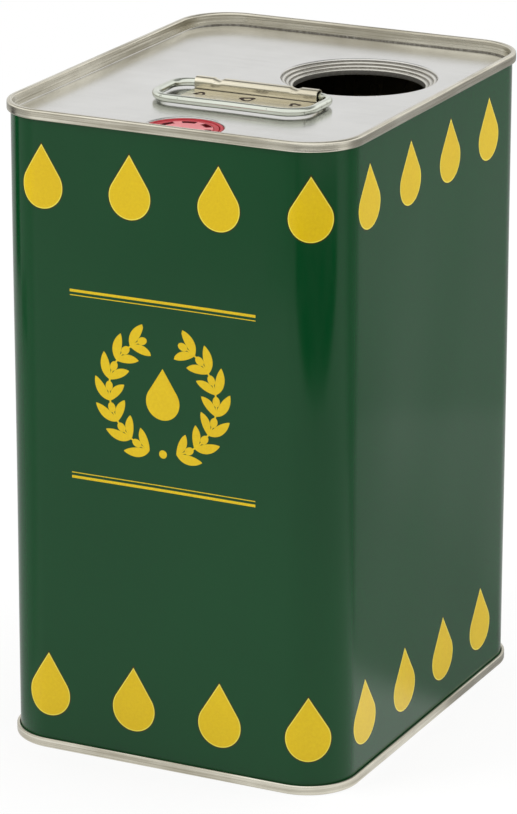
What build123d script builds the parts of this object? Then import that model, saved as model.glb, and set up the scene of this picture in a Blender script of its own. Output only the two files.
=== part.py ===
from build123d import *
import math
import os

# Rectangular three-litre oil tin, with a wire carrying handle, a filling mouth and a pull-up spout.
# Millimetres, +Z up. The origin is the middle of the footprint, on the surface that the tin stands on.
# The printed front panel faces -Y.

# Body, lengths and radii of the tinplate box
BODY_WIDTH = 114.0
BODY_DEPTH = 142.0
TIN_HEIGHT = 204.0
CORNER_RADIUS = 16.0
BODY_SHEET = 0.28
LAP_WIDTH = 0.9
LAP_STEP = 0.14

# Double seams, which join the body to both ends
END_SHEET = 0.32
SEAM_LENGTH = 3.1
SEAM_GAP = 0.08
CREST_RADIUS = 0.55
HEM_RADIUS = 0.3
BODY_HOOK_LENGTH = 1.9
BODY_HOOK_RADIUS = 0.24
COVER_HOOK_LENGTH = 1.75
COMPOUND_HEIGHT = 0.3
CHUCK_TAPER = 0.2
COUNTERSINK_DEPTH = 4.0
COUNTERSINK_RADIUS = 0.5
PANEL_MARGIN = 6.0

# Bottom panel's raised stiffening step
STEP_INSET = 13.0
STEP_RISE = 1.2
STEP_SLOPE = 1.4

# Filling mouth, a hole with a raised bead, drawn down in steps to take a push-in plug
MOUTH_X = 20.4
MOUTH_Y = 23.2
MOUTH_BORE_RADIUS = 20.5
MOUTH_STEPS = 2
MOUTH_STEP_WIDTH = 0.95
MOUTH_STEP_DROP = 1.3
MOUTH_WALL_DROP = 2.2
MOUTH_BEND = 0.36
MOUTH_BEAD_RISE = 0.7
MOUTH_BEAD_CREST = 0.9
MOUTH_BEAD_SLOPE = 0.9
MOUTH_FLARE = 1.0

# Spout seat, a smaller hole drawn down with one ledge
SPOUT_INSET = 14.4
SEAT_BORE_RADIUS = 11.0
SEAT_LEDGE_WIDTH = 1.2
SEAT_LEDGE_DROP = 3.0
SEAT_WALL_DROP = 3.4
SEAT_BEND = 0.36
SEAT_FLARE = 0.5

# Spout collar, the fixed plastic ring that snaps into the seat
FIT_GAP = 0.06
COLLAR_SUNK = 0.35
COLLAR_WALL = 1.0
COLLAR_RIM_WIDTH = 1.15
COLLAR_FLOOR = 0.9
COLLAR_SNAP_PROUD = 0.45
COLLAR_SNAP_HEIGHT = 0.9
COLLAR_EDGE = 0.35

# Spout cone, which turns inside out as the spout is pulled up
CONE_DEPTH = 11.5
CONE_WALL = 0.55
CONE_TAPER = 0.35

# Nozzle, the pouring tube
NOZZLE_BORE_RADIUS = 5.6
NOZZLE_WALL = 1.0
NOZZLE_FOOT = 0.9
NOZZLE_BEAD_PROUD = 0.35
NOZZLE_BEAD_HEIGHT = 0.9
NOZZLE_BEAD_PITCH = 2.4
NOZZLE_BEADS = 2

# Tear-out membrane and its pull ring, inside the nozzle
MEMBRANE_SUNK = 2.6
MEMBRANE_THICKNESS = 0.6
PULL_RING_RADIUS = 3.4
PULL_RING_WIRE = 0.55
PULL_POST_RADIUS = 0.5

# Screw cap: a disc in the collar's recess, with a raised boss, a skirt, and a shoulder for the pull handles
RUN_GAP = 0.25
CAP_SUNK = 0.45
CAP_SKIRT_DEPTH = 6.4
CAP_SKIRT_WALL = 1.2
CAP_EDGE = 0.2
BOSS_RADIUS = 9.1
SHOULDER_DROP = 0.85
CAP_SLOTS = 7
CAP_SLOT_DEPTH = 0.7
CAP_SLOT_WIDTH = 1.2
CAP_SLOT_INSET = 0.45
CAP_SLOT_ANGLE = 30.0
CAP_DIMPLE_RADIUS = 1.1

# Pull handles, two half rings that fold down beside the boss, with round ends at their hinges
BAIL_GAP = 0.1
BAIL_THICKNESS = 0.7
HINGE_HALF_WIDTH = 0.25

# Carrying handle of bent wire
WIRE_RADIUS = 1.3
HANDLE_X = 2.2
WIRE_Y = -11.75
HANDLE_LENGTH = 52.6
HANDLE_REACH = 21.9
HANDLE_FRONT_CORNER = 8.0
HANDLE_BACK_CORNER = 6.0
WIRE_END_GAP = 0.8

# Handle bracket, a tinplate clip that is spot-welded to the panel and rolled over the wire
BRACKET_X = 2.65
BRACKET_LENGTH = 41.2
BRACKET_SHEET = 0.4
BRACKET_FRONT_GAP = 0.4
BRACKET_BACK_GAP = 0.4
BRACKET_TOP_GAP = 0.45
WIRE_REST_GAP = 0.1
BRACKET_ROLL_RADIUS = 1.5
BRACKET_EDGE_GAP = 0.15
FLANGE_WIDTH = 11.0
CRIMP_INSET = 7.6
CRIMP_RADIUS = 4.5
WELDS = 3
WELD_RADIUS = 1.5
WELD_DIMPLE = 0.18
WELD_INSET = 4.6

FULL_TURN = 360.0

# Levels and offsets worked out from the sizes above
PANEL_TOP = TIN_HEIGHT - COUNTERSINK_DEPTH
BASE_PANEL = COUNTERSINK_DEPTH
CHUCK_LINE = -BODY_SHEET - SEAM_GAP - END_SHEET / 2
COVER_HOOK_LINE = SEAM_GAP + END_SHEET / 2
BODY_HOOK_LINE = 2 * SEAM_GAP + END_SHEET + BODY_SHEET / 2
SEAM_WALL_LINE = 3 * SEAM_GAP + END_SHEET + BODY_SHEET + END_SHEET / 2

SPOUT_Y = SPOUT_INSET - BODY_DEPTH / 2
SEAT_RIM_RADIUS = SEAT_BORE_RADIUS + SEAT_LEDGE_WIDTH
SEAT_LEDGE = PANEL_TOP - SEAT_LEDGE_DROP
SEAT_EDGE = SEAT_LEDGE - END_SHEET / 2 - SEAT_WALL_DROP
COLLAR_RADIUS = SEAT_RIM_RADIUS - FIT_GAP
COLLAR_BORE = SEAT_BORE_RADIUS - FIT_GAP - COLLAR_WALL
COLLAR_TOP = PANEL_TOP - COLLAR_SUNK
COLLAR_RECESS = SEAT_LEDGE + FIT_GAP + COLLAR_FLOOR
SNAP_TOP = SEAT_EDGE - FIT_GAP
COLLAR_FOOT = SNAP_TOP - COLLAR_SNAP_HEIGHT
CONE_FOLD = COLLAR_FOOT - CONE_DEPTH

CAP_TOP = PANEL_TOP - CAP_SUNK
CAP_RADIUS = COLLAR_RADIUS - COLLAR_RIM_WIDTH - RUN_GAP
CAP_UNDERSIDE = COLLAR_RECESS + RUN_GAP
CAP_SHOULDER = CAP_TOP - SHOULDER_DROP
NOZZLE_RADIUS = NOZZLE_BORE_RADIUS + NOZZLE_WALL
NOZZLE_TOP = CAP_UNDERSIDE - RUN_GAP
BAIL_INNER = BOSS_RADIUS + BAIL_GAP
BAIL_AXIS_OFFSET = HINGE_HALF_WIDTH + BAIL_GAP + BAIL_THICKNESS / 2
BAIL_AXIS_LEVEL = CAP_SHOULDER + BAIL_GAP + BAIL_THICKNESS / 2
SPOUT_AXIS = Pos(0, SPOUT_Y)

WIRE_LEVEL = PANEL_TOP + BRACKET_SHEET + WIRE_REST_GAP + WIRE_RADIUS
CRIMP_DEPTH = BRACKET_TOP_GAP - WIRE_REST_GAP


def turned(points, radii, side):
    """One side of a bent sheet: its middle line moved sideways, each bend's radius changed to suit."""
    moved = []
    for i, point in enumerate(points):
        before = points[i] - points[i - 1] if i else points[1] - points[0]
        after = points[i + 1] - points[i] if i < len(points) - 1 else before
        before, after = before.normalized(), after.normalized()
        left_before = Vector(-before.Y, before.X)
        left_after = Vector(-after.Y, after.X)
        mitre = (left_before + left_after).normalized()
        moved.append(point + mitre * (side / mitre.dot(left_before)))
    bends = []
    for i, radius in enumerate(radii):
        before = (points[i + 1] - points[i]).normalized()
        after = (points[i + 2] - points[i + 1]).normalized()
        turn = before.X * after.Y - before.Y * after.X
        bends.append(radius - math.copysign(side, side * turn))
    return FilletPolyline(*moved, radius=bends)


def sheet_section(places, radii, sheet):
    """The closed section of a sheet bent along a middle line, in a plane's own x and y."""
    points = [Vector(x, y) for x, y in places]
    left = turned(points, radii, sheet / 2)
    right = turned(points, radii, -sheet / 2)
    caps = [Edge.make_line(left @ 0, right @ 0), Edge.make_line(left @ 1, right @ 1)]
    return make_face(list(left.edges()) + list(right.edges()) + caps)


def rim_path():
    """The body's outer outline, begun at the middle of the front so that the joint lies on a flat."""
    half_x, half_y = BODY_WIDTH / 2, BODY_DEPTH / 2
    right = FilletPolyline(
        (0, -half_y), (half_x, -half_y), (half_x, half_y), (0, half_y), radius=CORNER_RADIUS
    )
    left = FilletPolyline(
        (0, half_y), (-half_x, half_y), (-half_x, -half_y), (0, -half_y), radius=CORNER_RADIUS
    )
    return Wire(list(right.edges()) + list(left.edges()))


def round_the_body(section):
    """Carries a section round the body's outline: x is the distance outside the body, y the height."""
    start = Plane(origin=(0, -BODY_DEPTH / 2, 0), x_dir=(0, -1, 0), z_dir=(-1, 0, 0))
    return sweep(start * section, path=rim_path())


def flipped(places):
    """The same section for the bottom of the tin, upside down."""
    return [(x, -y) for x, y in places]


def body_shell():
    """One sheet: the wall, with a hook turned outwards at each end and a welded lap down the back."""
    hook_top = TIN_HEIGHT - END_SHEET - SEAM_GAP - BODY_SHEET / 2
    hook_low = END_SHEET + SEAM_GAP + BODY_SHEET / 2
    wall_line = -BODY_SHEET / 2
    places = [
        (BODY_HOOK_LINE, hook_low + BODY_HOOK_LENGTH),
        (BODY_HOOK_LINE, hook_low),
        (wall_line, hook_low),
        (wall_line, hook_top),
        (BODY_HOOK_LINE, hook_top),
        (BODY_HOOK_LINE, hook_top - BODY_HOOK_LENGTH),
    ]
    bends = [BODY_HOOK_RADIUS] * (len(places) - 2)
    shell = round_the_body(sheet_section(places, bends, BODY_SHEET))
    lap_height = TIN_HEIGHT - 2 * (SEAM_LENGTH + SEAM_GAP)
    lap = Box(LAP_WIDTH, BODY_SHEET / 2 + LAP_STEP, lap_height)
    lap_y = BODY_DEPTH / 2 + (LAP_STEP - BODY_SHEET / 2) / 2
    return shell + Pos(0, lap_y, TIN_HEIGHT / 2) * lap


def seam_section(level, upward):
    """An end's rim: panel edge, countersink, chuck wall, crest, seaming wall and cover hook."""
    panel_line = -COUNTERSINK_DEPTH - END_SHEET / 2
    crest_line = -END_SHEET / 2
    hem_line = -SEAM_LENGTH + END_SHEET / 2
    places = [
        (-PANEL_MARGIN, panel_line),
        (CHUCK_LINE - CHUCK_TAPER, panel_line),
        (CHUCK_LINE, crest_line),
        (SEAM_WALL_LINE, crest_line),
        (SEAM_WALL_LINE, hem_line),
        (COVER_HOOK_LINE, hem_line),
        (COVER_HOOK_LINE, hem_line + COVER_HOOK_LENGTH),
    ]
    bends = [COUNTERSINK_RADIUS, CREST_RADIUS, CREST_RADIUS, HEM_RADIUS, HEM_RADIUS]
    if upward:
        places = flipped(places)
    places = [(x, y + level) for x, y in places]
    return sheet_section(places, bends, END_SHEET)


def compound_ring(level, upward):
    """The bead of sealing compound above the cover hook's edge, under the body hook."""
    hook_under = END_SHEET + SEAM_GAP + BODY_SHEET
    middle = -(hook_under + SEAM_GAP / 2 + COMPOUND_HEIGHT / 2)
    if upward:
        middle = -middle
    ring = Pos(COVER_HOOK_LINE, level + middle) * Rectangle(END_SHEET, COMPOUND_HEIGHT)
    return round_the_body(ring)


def panel_plate(middle):
    """The flat of an end, inside its seam's rim section."""
    plate = RectangleRounded(
        BODY_WIDTH - 2 * PANEL_MARGIN,
        BODY_DEPTH - 2 * PANEL_MARGIN,
        CORNER_RADIUS - PANEL_MARGIN,
    )
    return Pos(0, 0, middle) * extrude(plate, END_SHEET / 2, both=True)


def drawn_hole(places, bends):
    """A sheet drawn down round a hole: its section turned about the hole's axis."""
    section = sheet_section(places, bends, END_SHEET)
    return revolve(Plane.XZ * section, Axis.Z)


def mouth_ring():
    """The filling mouth about its own axis, from the panel's top down, and the radius of its blank."""
    line, level = MOUTH_BORE_RADIUS + END_SHEET / 2, -END_SHEET / 2
    rim_line = line + MOUTH_STEPS * MOUTH_STEP_WIDTH
    crest_line = rim_line + MOUTH_BEAD_CREST
    foot_line = crest_line + MOUTH_BEAD_SLOPE
    places = [(foot_line + MOUTH_FLARE, level), (foot_line, level)]
    level += MOUTH_BEAD_RISE
    places += [(crest_line, level), (rim_line, level)]
    for i in range(MOUTH_STEPS):
        level -= MOUTH_STEP_DROP
        places += [(rim_line - i * MOUTH_STEP_WIDTH, level), (rim_line - (i + 1) * MOUTH_STEP_WIDTH, level)]
    places += [(line, level - MOUTH_WALL_DROP)]
    return drawn_hole(places, [MOUTH_BEND] * (len(places) - 2)), foot_line + MOUTH_FLARE


def seat_ring():
    """The spout seat about its own axis, from the panel's top down, and the radius of its blank."""
    bore_line = SEAT_BORE_RADIUS + END_SHEET / 2
    rim_line = SEAT_RIM_RADIUS + END_SHEET / 2
    top = -END_SHEET / 2
    places = [
        (rim_line + SEAT_FLARE, top),
        (rim_line, top),
        (rim_line, top - SEAT_LEDGE_DROP),
        (bore_line, top - SEAT_LEDGE_DROP),
        (bore_line, top - SEAT_LEDGE_DROP - SEAT_WALL_DROP),
    ]
    return drawn_hole(places, [SEAT_BEND] * (len(places) - 2)), rim_line + SEAT_FLARE


def top_end():
    """The lid: double-seam rim, flat panel, filling mouth and spout seat, all one sheet."""
    lid = round_the_body(seam_section(TIN_HEIGHT, False)) + panel_plate(PANEL_TOP - END_SHEET / 2)
    for build, x, y in ((mouth_ring, MOUTH_X, MOUTH_Y), (seat_ring, 0, SPOUT_Y)):
        ring, blank_radius = build()
        place = Pos(x, y, PANEL_TOP)
        lid = lid - place * Cylinder(blank_radius, 3 * END_SHEET) + place * ring
    return lid


def bottom_end():
    """The base: double-seam rim, and a panel with one raised step that keeps it flat."""
    plate = panel_plate(BASE_PANEL + END_SHEET / 2)
    low_inset = STEP_INSET - STEP_SLOPE
    outer = RectangleRounded(
        BODY_WIDTH - 2 * low_inset, BODY_DEPTH - 2 * low_inset, CORNER_RADIUS
    )
    inner = RectangleRounded(
        BODY_WIDTH - 2 * STEP_INSET, BODY_DEPTH - 2 * STEP_INSET, CORNER_RADIUS - STEP_SLOPE
    )
    step = loft([Pos(0, 0, BASE_PANEL) * outer, Pos(0, 0, BASE_PANEL + STEP_RISE) * inner])
    return round_the_body(seam_section(0, True)) + plate + Pos(0, 0, END_SHEET) * step - step


def bracket_section():
    """The bracket's section in Y and Z, from the flange round the wire to the front wall's free edge."""
    front = WIRE_Y - WIRE_RADIUS - BRACKET_FRONT_GAP - BRACKET_SHEET / 2
    back = WIRE_Y + WIRE_RADIUS + BRACKET_BACK_GAP + BRACKET_SHEET / 2
    roof = WIRE_LEVEL + WIRE_RADIUS + BRACKET_TOP_GAP + BRACKET_SHEET / 2
    floor = PANEL_TOP + BRACKET_SHEET / 2
    places = [
        (front - FLANGE_WIDTH, floor),
        (back, floor),
        (back, roof),
        (front, roof),
        (front, PANEL_TOP + BRACKET_SHEET + BRACKET_EDGE_GAP),
    ]
    section = sheet_section(places, [BRACKET_ROLL_RADIUS] * 3, BRACKET_SHEET)
    return section, front, back, roof + BRACKET_SHEET / 2


def handle_bracket():
    """The rolled clip, with two crimps pressed into its roof and the dimples of its spot welds."""
    section, front, back, top = bracket_section()
    side_on = Plane(origin=(BRACKET_X, 0, 0), x_dir=(0, 1, 0), z_dir=(1, 0, 0))
    clip = extrude(side_on * section, BRACKET_LENGTH / 2, both=True)
    depth, height = back - front + BRACKET_SHEET, top - PANEL_TOP
    middle = (front + back) / 2
    outline = RectangleRounded(depth, height, BRACKET_ROLL_RADIUS + BRACKET_SHEET / 2)
    roll = extrude(side_on * Pos(middle, top - height / 2) * outline, BRACKET_LENGTH / 2, both=True)
    for side in (-1, 1):
        x = BRACKET_X + side * (BRACKET_LENGTH / 2 - CRIMP_INSET)
        place = Pos(x, middle, top - CRIMP_DEPTH + CRIMP_RADIUS) * Rot(X=90)
        dent = place * Cylinder(CRIMP_RADIUS, 2 * depth)
        pressed = place * Cylinder(CRIMP_RADIUS + BRACKET_SHEET, 2 * depth) - dent
        clip = clip - dent + (pressed & roll)
    pitch = (BRACKET_LENGTH - 2 * WELD_INSET) / (WELDS - 1)
    for i in range(WELDS):
        x = BRACKET_X - BRACKET_LENGTH / 2 + WELD_INSET + i * pitch
        y = front - FLANGE_WIDTH / 2
        clip -= Pos(x, y, PANEL_TOP + BRACKET_SHEET) * Cylinder(WELD_RADIUS, 2 * WELD_DIMPLE)
    return clip


def handle_wire():
    """The handle's wire loop, with its two ends butted inside the bracket."""
    half = HANDLE_LENGTH / 2
    far = WIRE_Y - HANDLE_REACH
    places = [
        (HANDLE_X + WIRE_END_GAP / 2, WIRE_Y),
        (HANDLE_X + half, WIRE_Y),
        (HANDLE_X + half, far),
        (HANDLE_X - half, far),
        (HANDLE_X - half, WIRE_Y),
        (HANDLE_X - WIRE_END_GAP / 2, WIRE_Y),
    ]
    bends = [HANDLE_BACK_CORNER, HANDLE_FRONT_CORNER, HANDLE_FRONT_CORNER, HANDLE_BACK_CORNER]
    path = FilletPolyline(*[(x, y, WIRE_LEVEL) for x, y in places], radius=bends)
    section = Plane(origin=path @ 0, z_dir=path % 0) * Circle(WIRE_RADIUS)
    return sweep(section, path=path)


def turned_part(places):
    """A solid turned about the spout's axis from a section given as radius and height."""
    section = make_face(Polyline(*places, close=True))
    return SPOUT_AXIS * revolve(Plane.XZ * section, Axis.Z)


def spout_collar():
    """The fixed ring: rim and recess on the seat's ledge, a sleeve down the bore, and a snap bead."""
    sleeve = SEAT_BORE_RADIUS - FIT_GAP
    under = SEAT_LEDGE + FIT_GAP
    rim_inner = COLLAR_RADIUS - COLLAR_RIM_WIDTH
    places = [
        (COLLAR_BORE, COLLAR_RECESS),
        (rim_inner, COLLAR_RECESS),
        (rim_inner, COLLAR_TOP - COLLAR_EDGE),
        (rim_inner + COLLAR_EDGE, COLLAR_TOP),
        (COLLAR_RADIUS - COLLAR_EDGE, COLLAR_TOP),
        (COLLAR_RADIUS, COLLAR_TOP - COLLAR_EDGE),
        (COLLAR_RADIUS, under + SEAT_BEND),
        (COLLAR_RADIUS - SEAT_BEND, under),
        (sleeve, under),
        (sleeve, SNAP_TOP),
        (sleeve + COLLAR_SNAP_PROUD, SNAP_TOP),
        (sleeve, COLLAR_FOOT),
        (COLLAR_BORE, COLLAR_FOOT),
    ]
    return turned_part(places)


def spout_cone():
    """The thin wall from the collar down to the nozzle's foot, which turns inside out when pulled."""
    places = [
        (COLLAR_BORE, COLLAR_FOOT),
        (COLLAR_BORE + CONE_WALL, COLLAR_FOOT),
        (COLLAR_BORE + CONE_WALL - CONE_TAPER, CONE_FOLD),
        (COLLAR_BORE - CONE_TAPER, CONE_FOLD),
    ]
    return turned_part(places)


def spout_nozzle():
    """The pouring tube: a foot that meets the cone, a plain bore, and the cap's screw beads outside."""
    foot_top = CONE_FOLD + NOZZLE_FOOT
    places = [
        (NOZZLE_BORE_RADIUS, CONE_FOLD),
        (COLLAR_BORE - CONE_TAPER - FIT_GAP, CONE_FOLD),
        (COLLAR_BORE - CONE_TAPER - FIT_GAP, foot_top),
        (NOZZLE_RADIUS, foot_top),
    ]
    for i in range(NOZZLE_BEADS):
        low = NOZZLE_TOP - NOZZLE_BEAD_PITCH * (NOZZLE_BEADS - i)
        places += [
            (NOZZLE_RADIUS, low),
            (NOZZLE_RADIUS + NOZZLE_BEAD_PROUD, low + NOZZLE_BEAD_HEIGHT / 2),
            (NOZZLE_RADIUS, low + NOZZLE_BEAD_HEIGHT),
        ]
    places += [(NOZZLE_RADIUS, NOZZLE_TOP), (NOZZLE_BORE_RADIUS, NOZZLE_TOP)]
    return turned_part(places)


def nozzle_membrane():
    """The disc that seals the nozzle until it is torn out."""
    disc = Cylinder(NOZZLE_BORE_RADIUS - FIT_GAP, MEMBRANE_THICKNESS)
    return SPOUT_AXIS * Pos(0, 0, NOZZLE_TOP - MEMBRANE_SUNK) * disc


def membrane_ring():
    """The ring that tears the membrane out, standing on a small post."""
    floor = NOZZLE_TOP - MEMBRANE_SUNK + MEMBRANE_THICKNESS / 2
    level = floor + 2 * PULL_RING_WIRE
    ring = Pos(0, 0, level) * Torus(PULL_RING_RADIUS, PULL_RING_WIRE)
    post = Cylinder(PULL_POST_RADIUS, level - floor, align=(Align.CENTER, Align.CENTER, Align.MIN))
    return SPOUT_AXIS * (ring + Pos(-PULL_RING_RADIUS, 0, floor) * post)


def cap_slot(turn):
    """A cutter for one arc slot in the boss's top, turned about the cap's axis."""
    half = math.radians(CAP_SLOT_ANGLE / 2)
    far = BOSS_RADIUS / math.cos(half)
    wedge = make_face(
        Polyline(
            (0, 0),
            (far * math.cos(half), far * math.sin(half)),
            (far * math.cos(half), -far * math.sin(half)),
            close=True,
        )
    )
    outer = BOSS_RADIUS - CAP_SLOT_INSET
    ring = Circle(outer) - Circle(outer - CAP_SLOT_WIDTH)
    return Pos(0, 0, CAP_TOP) * Rot(Z=turn) * extrude(ring & wedge, CAP_SLOT_DEPTH, both=True)


def spout_cap():
    """The screw cap: disc, raised boss with grip slots, skirt, and the posts the pull handles hang on."""
    skirt_bore = NOZZLE_RADIUS + NOZZLE_BEAD_PROUD + RUN_GAP
    skirt_foot = CAP_TOP - CAP_SKIRT_DEPTH
    places = [
        (0, CAP_TOP),
        (BOSS_RADIUS - CAP_EDGE, CAP_TOP),
        (BOSS_RADIUS, CAP_TOP - CAP_EDGE),
        (BOSS_RADIUS, CAP_SHOULDER),
        (CAP_RADIUS, CAP_SHOULDER),
        (CAP_RADIUS, CAP_UNDERSIDE),
        (skirt_bore + CAP_SKIRT_WALL, CAP_UNDERSIDE),
        (skirt_bore + CAP_SKIRT_WALL, skirt_foot),
        (skirt_bore, skirt_foot),
        (skirt_bore, CAP_UNDERSIDE),
        (0, CAP_UNDERSIDE),
    ]
    cap = turned_part(places)
    for i in range(CAP_SLOTS):
        cap -= SPOUT_AXIS * cap_slot(i * FULL_TURN / CAP_SLOTS)
    cap -= SPOUT_AXIS * Pos(0, 0, CAP_TOP) * Cylinder(CAP_DIMPLE_RADIUS, CAP_SLOT_DEPTH)
    width = CAP_RADIUS - BOSS_RADIUS
    for side in (-1, 1):
        post = Box(width, 2 * HINGE_HALF_WIDTH, SHOULDER_DROP)
        middle = (CAP_RADIUS + BOSS_RADIUS) / 2 - BAIL_GAP
        cap += SPOUT_AXIS * Pos(side * middle, 0, CAP_SHOULDER + SHOULDER_DROP / 2) * post
    return cap


def pull_bail(side):
    """One folding pull handle: half a ring beside the boss, with both ends rounded about its hinge's axis.

    side is -1 for the front one.
    """
    ring = extrude(Circle(CAP_RADIUS) - Circle(BAIL_INNER), BAIL_THICKNESS / 2, both=True)
    axis_y = side * BAIL_AXIS_OFFSET
    half = Pos(0, axis_y + side * CAP_RADIUS / 2) * Box(2 * CAP_RADIUS, CAP_RADIUS, BAIL_THICKNESS)
    ends = Pos(0, axis_y) * Rot(Y=90) * Cylinder(BAIL_THICKNESS / 2, 2 * CAP_RADIUS)
    return SPOUT_AXIS * Pos(0, 0, BAIL_AXIS_LEVEL) * (ring & (half + ends))


def main():
    os.makedirs("parts", exist_ok=True)
    pieces = {
        "body_shell": body_shell(),
        "top_end": top_end(),
        "bottom_end": bottom_end(),
        "top_seam_compound": compound_ring(TIN_HEIGHT, False),
        "bottom_seam_compound": compound_ring(0, True),
        "handle_bracket": handle_bracket(),
        "handle_wire": handle_wire(),
        "spout_collar": spout_collar(),
        "spout_cone": spout_cone(),
        "spout_nozzle": spout_nozzle(),
        "nozzle_membrane": nozzle_membrane(),
        "membrane_ring": membrane_ring(),
        "spout_cap": spout_cap(),
        "pull_bail_front": pull_bail(-1),
        "pull_bail_back": pull_bail(1),
    }
    for name, solid in pieces.items():
        export_step(solid, f"parts/{name}.step")


main()
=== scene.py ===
"""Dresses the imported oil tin: printed body, bare tinplate ends, wire handle, and the pull-up plastic spout.

Lengths are written in millimetres and turned into metres where a mesh is made. The frame is the part's own:
+Z up, the printed front panel faces -Y, and the origin is the middle of the footprint.
"""

import logging
import math
from collections.abc import Callable, Sequence
from dataclasses import dataclass, field
from enum import Enum

import bmesh
import bpy
import numpy as np
from mathutils import Matrix


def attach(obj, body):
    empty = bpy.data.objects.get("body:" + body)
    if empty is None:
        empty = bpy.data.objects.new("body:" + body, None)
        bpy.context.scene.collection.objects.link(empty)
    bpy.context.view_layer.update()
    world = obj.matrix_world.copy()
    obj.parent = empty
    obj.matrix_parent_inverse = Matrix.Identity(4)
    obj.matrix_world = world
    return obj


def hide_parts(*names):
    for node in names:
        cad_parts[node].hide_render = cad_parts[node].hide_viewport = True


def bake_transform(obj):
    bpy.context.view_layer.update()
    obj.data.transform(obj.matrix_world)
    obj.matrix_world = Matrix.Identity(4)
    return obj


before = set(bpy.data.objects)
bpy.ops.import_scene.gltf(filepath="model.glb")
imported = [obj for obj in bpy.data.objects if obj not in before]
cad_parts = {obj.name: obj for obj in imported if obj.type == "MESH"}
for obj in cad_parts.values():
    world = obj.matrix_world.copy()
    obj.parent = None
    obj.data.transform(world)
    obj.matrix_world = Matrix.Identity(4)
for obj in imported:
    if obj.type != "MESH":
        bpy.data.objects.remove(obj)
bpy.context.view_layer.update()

LOG = logging.getLogger("oil_tin")
MM = 0.001
PHOTO_SIZE = (517, 814)
TURN = 2.0 * math.pi


# Shape tools: profiles, grids and meshes


def offset_polyline(points: np.ndarray, side: float) -> np.ndarray:
    """Moves each stretch of an open polyline sideways and meets the stretches at their mitres.

    Args:
        points: (n, 2) corners.
        side: distance to the left of the direction of travel, in mm.

    Returns:
        (n, 2) moved corners: point plus mitre direction times side over the mitre's share of the normal.
    """
    run = np.diff(points, axis=0)
    run /= np.linalg.norm(run, axis=1, keepdims=True)
    left = np.stack([-run[:, 1], run[:, 0]], axis=1)
    before, after = np.vstack([left[:1], left]), np.vstack([left, left[-1:]])
    mitre = before + after
    mitre /= np.linalg.norm(mitre, axis=1, keepdims=True)
    return points + mitre * (side / np.sum(mitre * before, axis=1, keepdims=True))


def round_corners(points: np.ndarray, radii: Sequence[float], steps: int) -> np.ndarray:
    """Replaces each inner corner of a polyline by a tangent arc.

    Args:
        points: (n, 2) corners.
        radii: one radius for each of the n - 2 inner corners, in mm.
        steps: chords in each arc.

    Returns:
        (m, 2) points: both ends, and steps + 1 points on each arc, spaced evenly by angle.
    """
    out = [points[:1]]
    for i, radius in enumerate(radii):
        corner = points[i + 1]
        come = (corner - points[i]) / np.linalg.norm(corner - points[i])
        go = (points[i + 2] - corner) / np.linalg.norm(points[i + 2] - corner)
        turn = math.atan2(come[0] * go[1] - come[1] * go[0], float(come @ go))
        reach = radius * math.tan(abs(turn) / 2)
        normal = np.array([-come[1], come[0]]) * math.copysign(1.0, turn)
        centre = corner - come * reach + normal * radius
        angle = np.linspace(0.0, turn, steps + 1)[:, None]
        arm = -normal * radius
        arc = centre + np.hstack([
            arm[0] * np.cos(angle) - arm[1] * np.sin(angle),
            arm[0] * np.sin(angle) + arm[1] * np.cos(angle),
        ])
        out.append(arc)
    out.append(points[-1:])
    return np.vstack(out)


def sheet_sides(
    places: Sequence[tuple[float, float]], bends: Sequence[float], sheet: float, steps: int = 6
) -> tuple[np.ndarray, np.ndarray]:
    """Both sides of a bent sheet's section, point for point.

    Args:
        places: corners of the sheet's middle line.
        bends: middle-line radius of each bend.
        sheet: thickness.
        steps: chords in each bend.

    Returns:
        The left side and the right side, each (m, 2).
    """
    middle = np.array(places, float)
    run = np.diff(middle, axis=0)
    cross = run[:-1, 0] * run[1:, 1] - run[:-1, 1] * run[1:, 0]
    sides = []
    for side in (sheet / 2, -sheet / 2):
        radii = [r - side * math.copysign(1.0, c) for r, c in zip(bends, cross)]
        sides.append(round_corners(offset_polyline(middle, side), radii, steps))
    return sides[0], sides[1]


def way_along(points: np.ndarray) -> np.ndarray:
    """The way from the first point to each point of a run, in metres: the summed lengths of its stretches."""
    return np.concatenate([[0.0], np.cumsum(np.linalg.norm(np.diff(points, axis=0), axis=1))]) * MM


def smooth_step(value: np.ndarray, edge: float, width: float) -> np.ndarray:
    """Rises from 0 to 1 about an edge, as t^2 (3 - 2t) with t the share of the width."""
    t = np.clip((value - edge) / width + 0.5, 0.0, 1.0)
    return t * t * (3 - 2 * t)


def grid_faces(rows: int, columns: int, close_rows: bool, close_columns: bool) -> np.ndarray:
    """Quads of a grid whose vertex (i, j) has the number i * columns + j.

    Args:
        rows: number of rows, i.
        columns: number of columns, j.
        close_rows: whether the last row joins the first.
        close_columns: whether the last column joins the first.

    Returns:
        (n, 4) vertex numbers.
    """
    i = np.arange(rows if close_rows else rows - 1)[:, None]
    j = np.arange(columns if close_columns else columns - 1)[None, :]
    below, right = (i + 1) % rows, (j + 1) % columns
    quads = np.stack([i * columns + j, i * columns + right, below * columns + right, below * columns + j], axis=-1)
    return quads.reshape(-1, 4)


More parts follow.
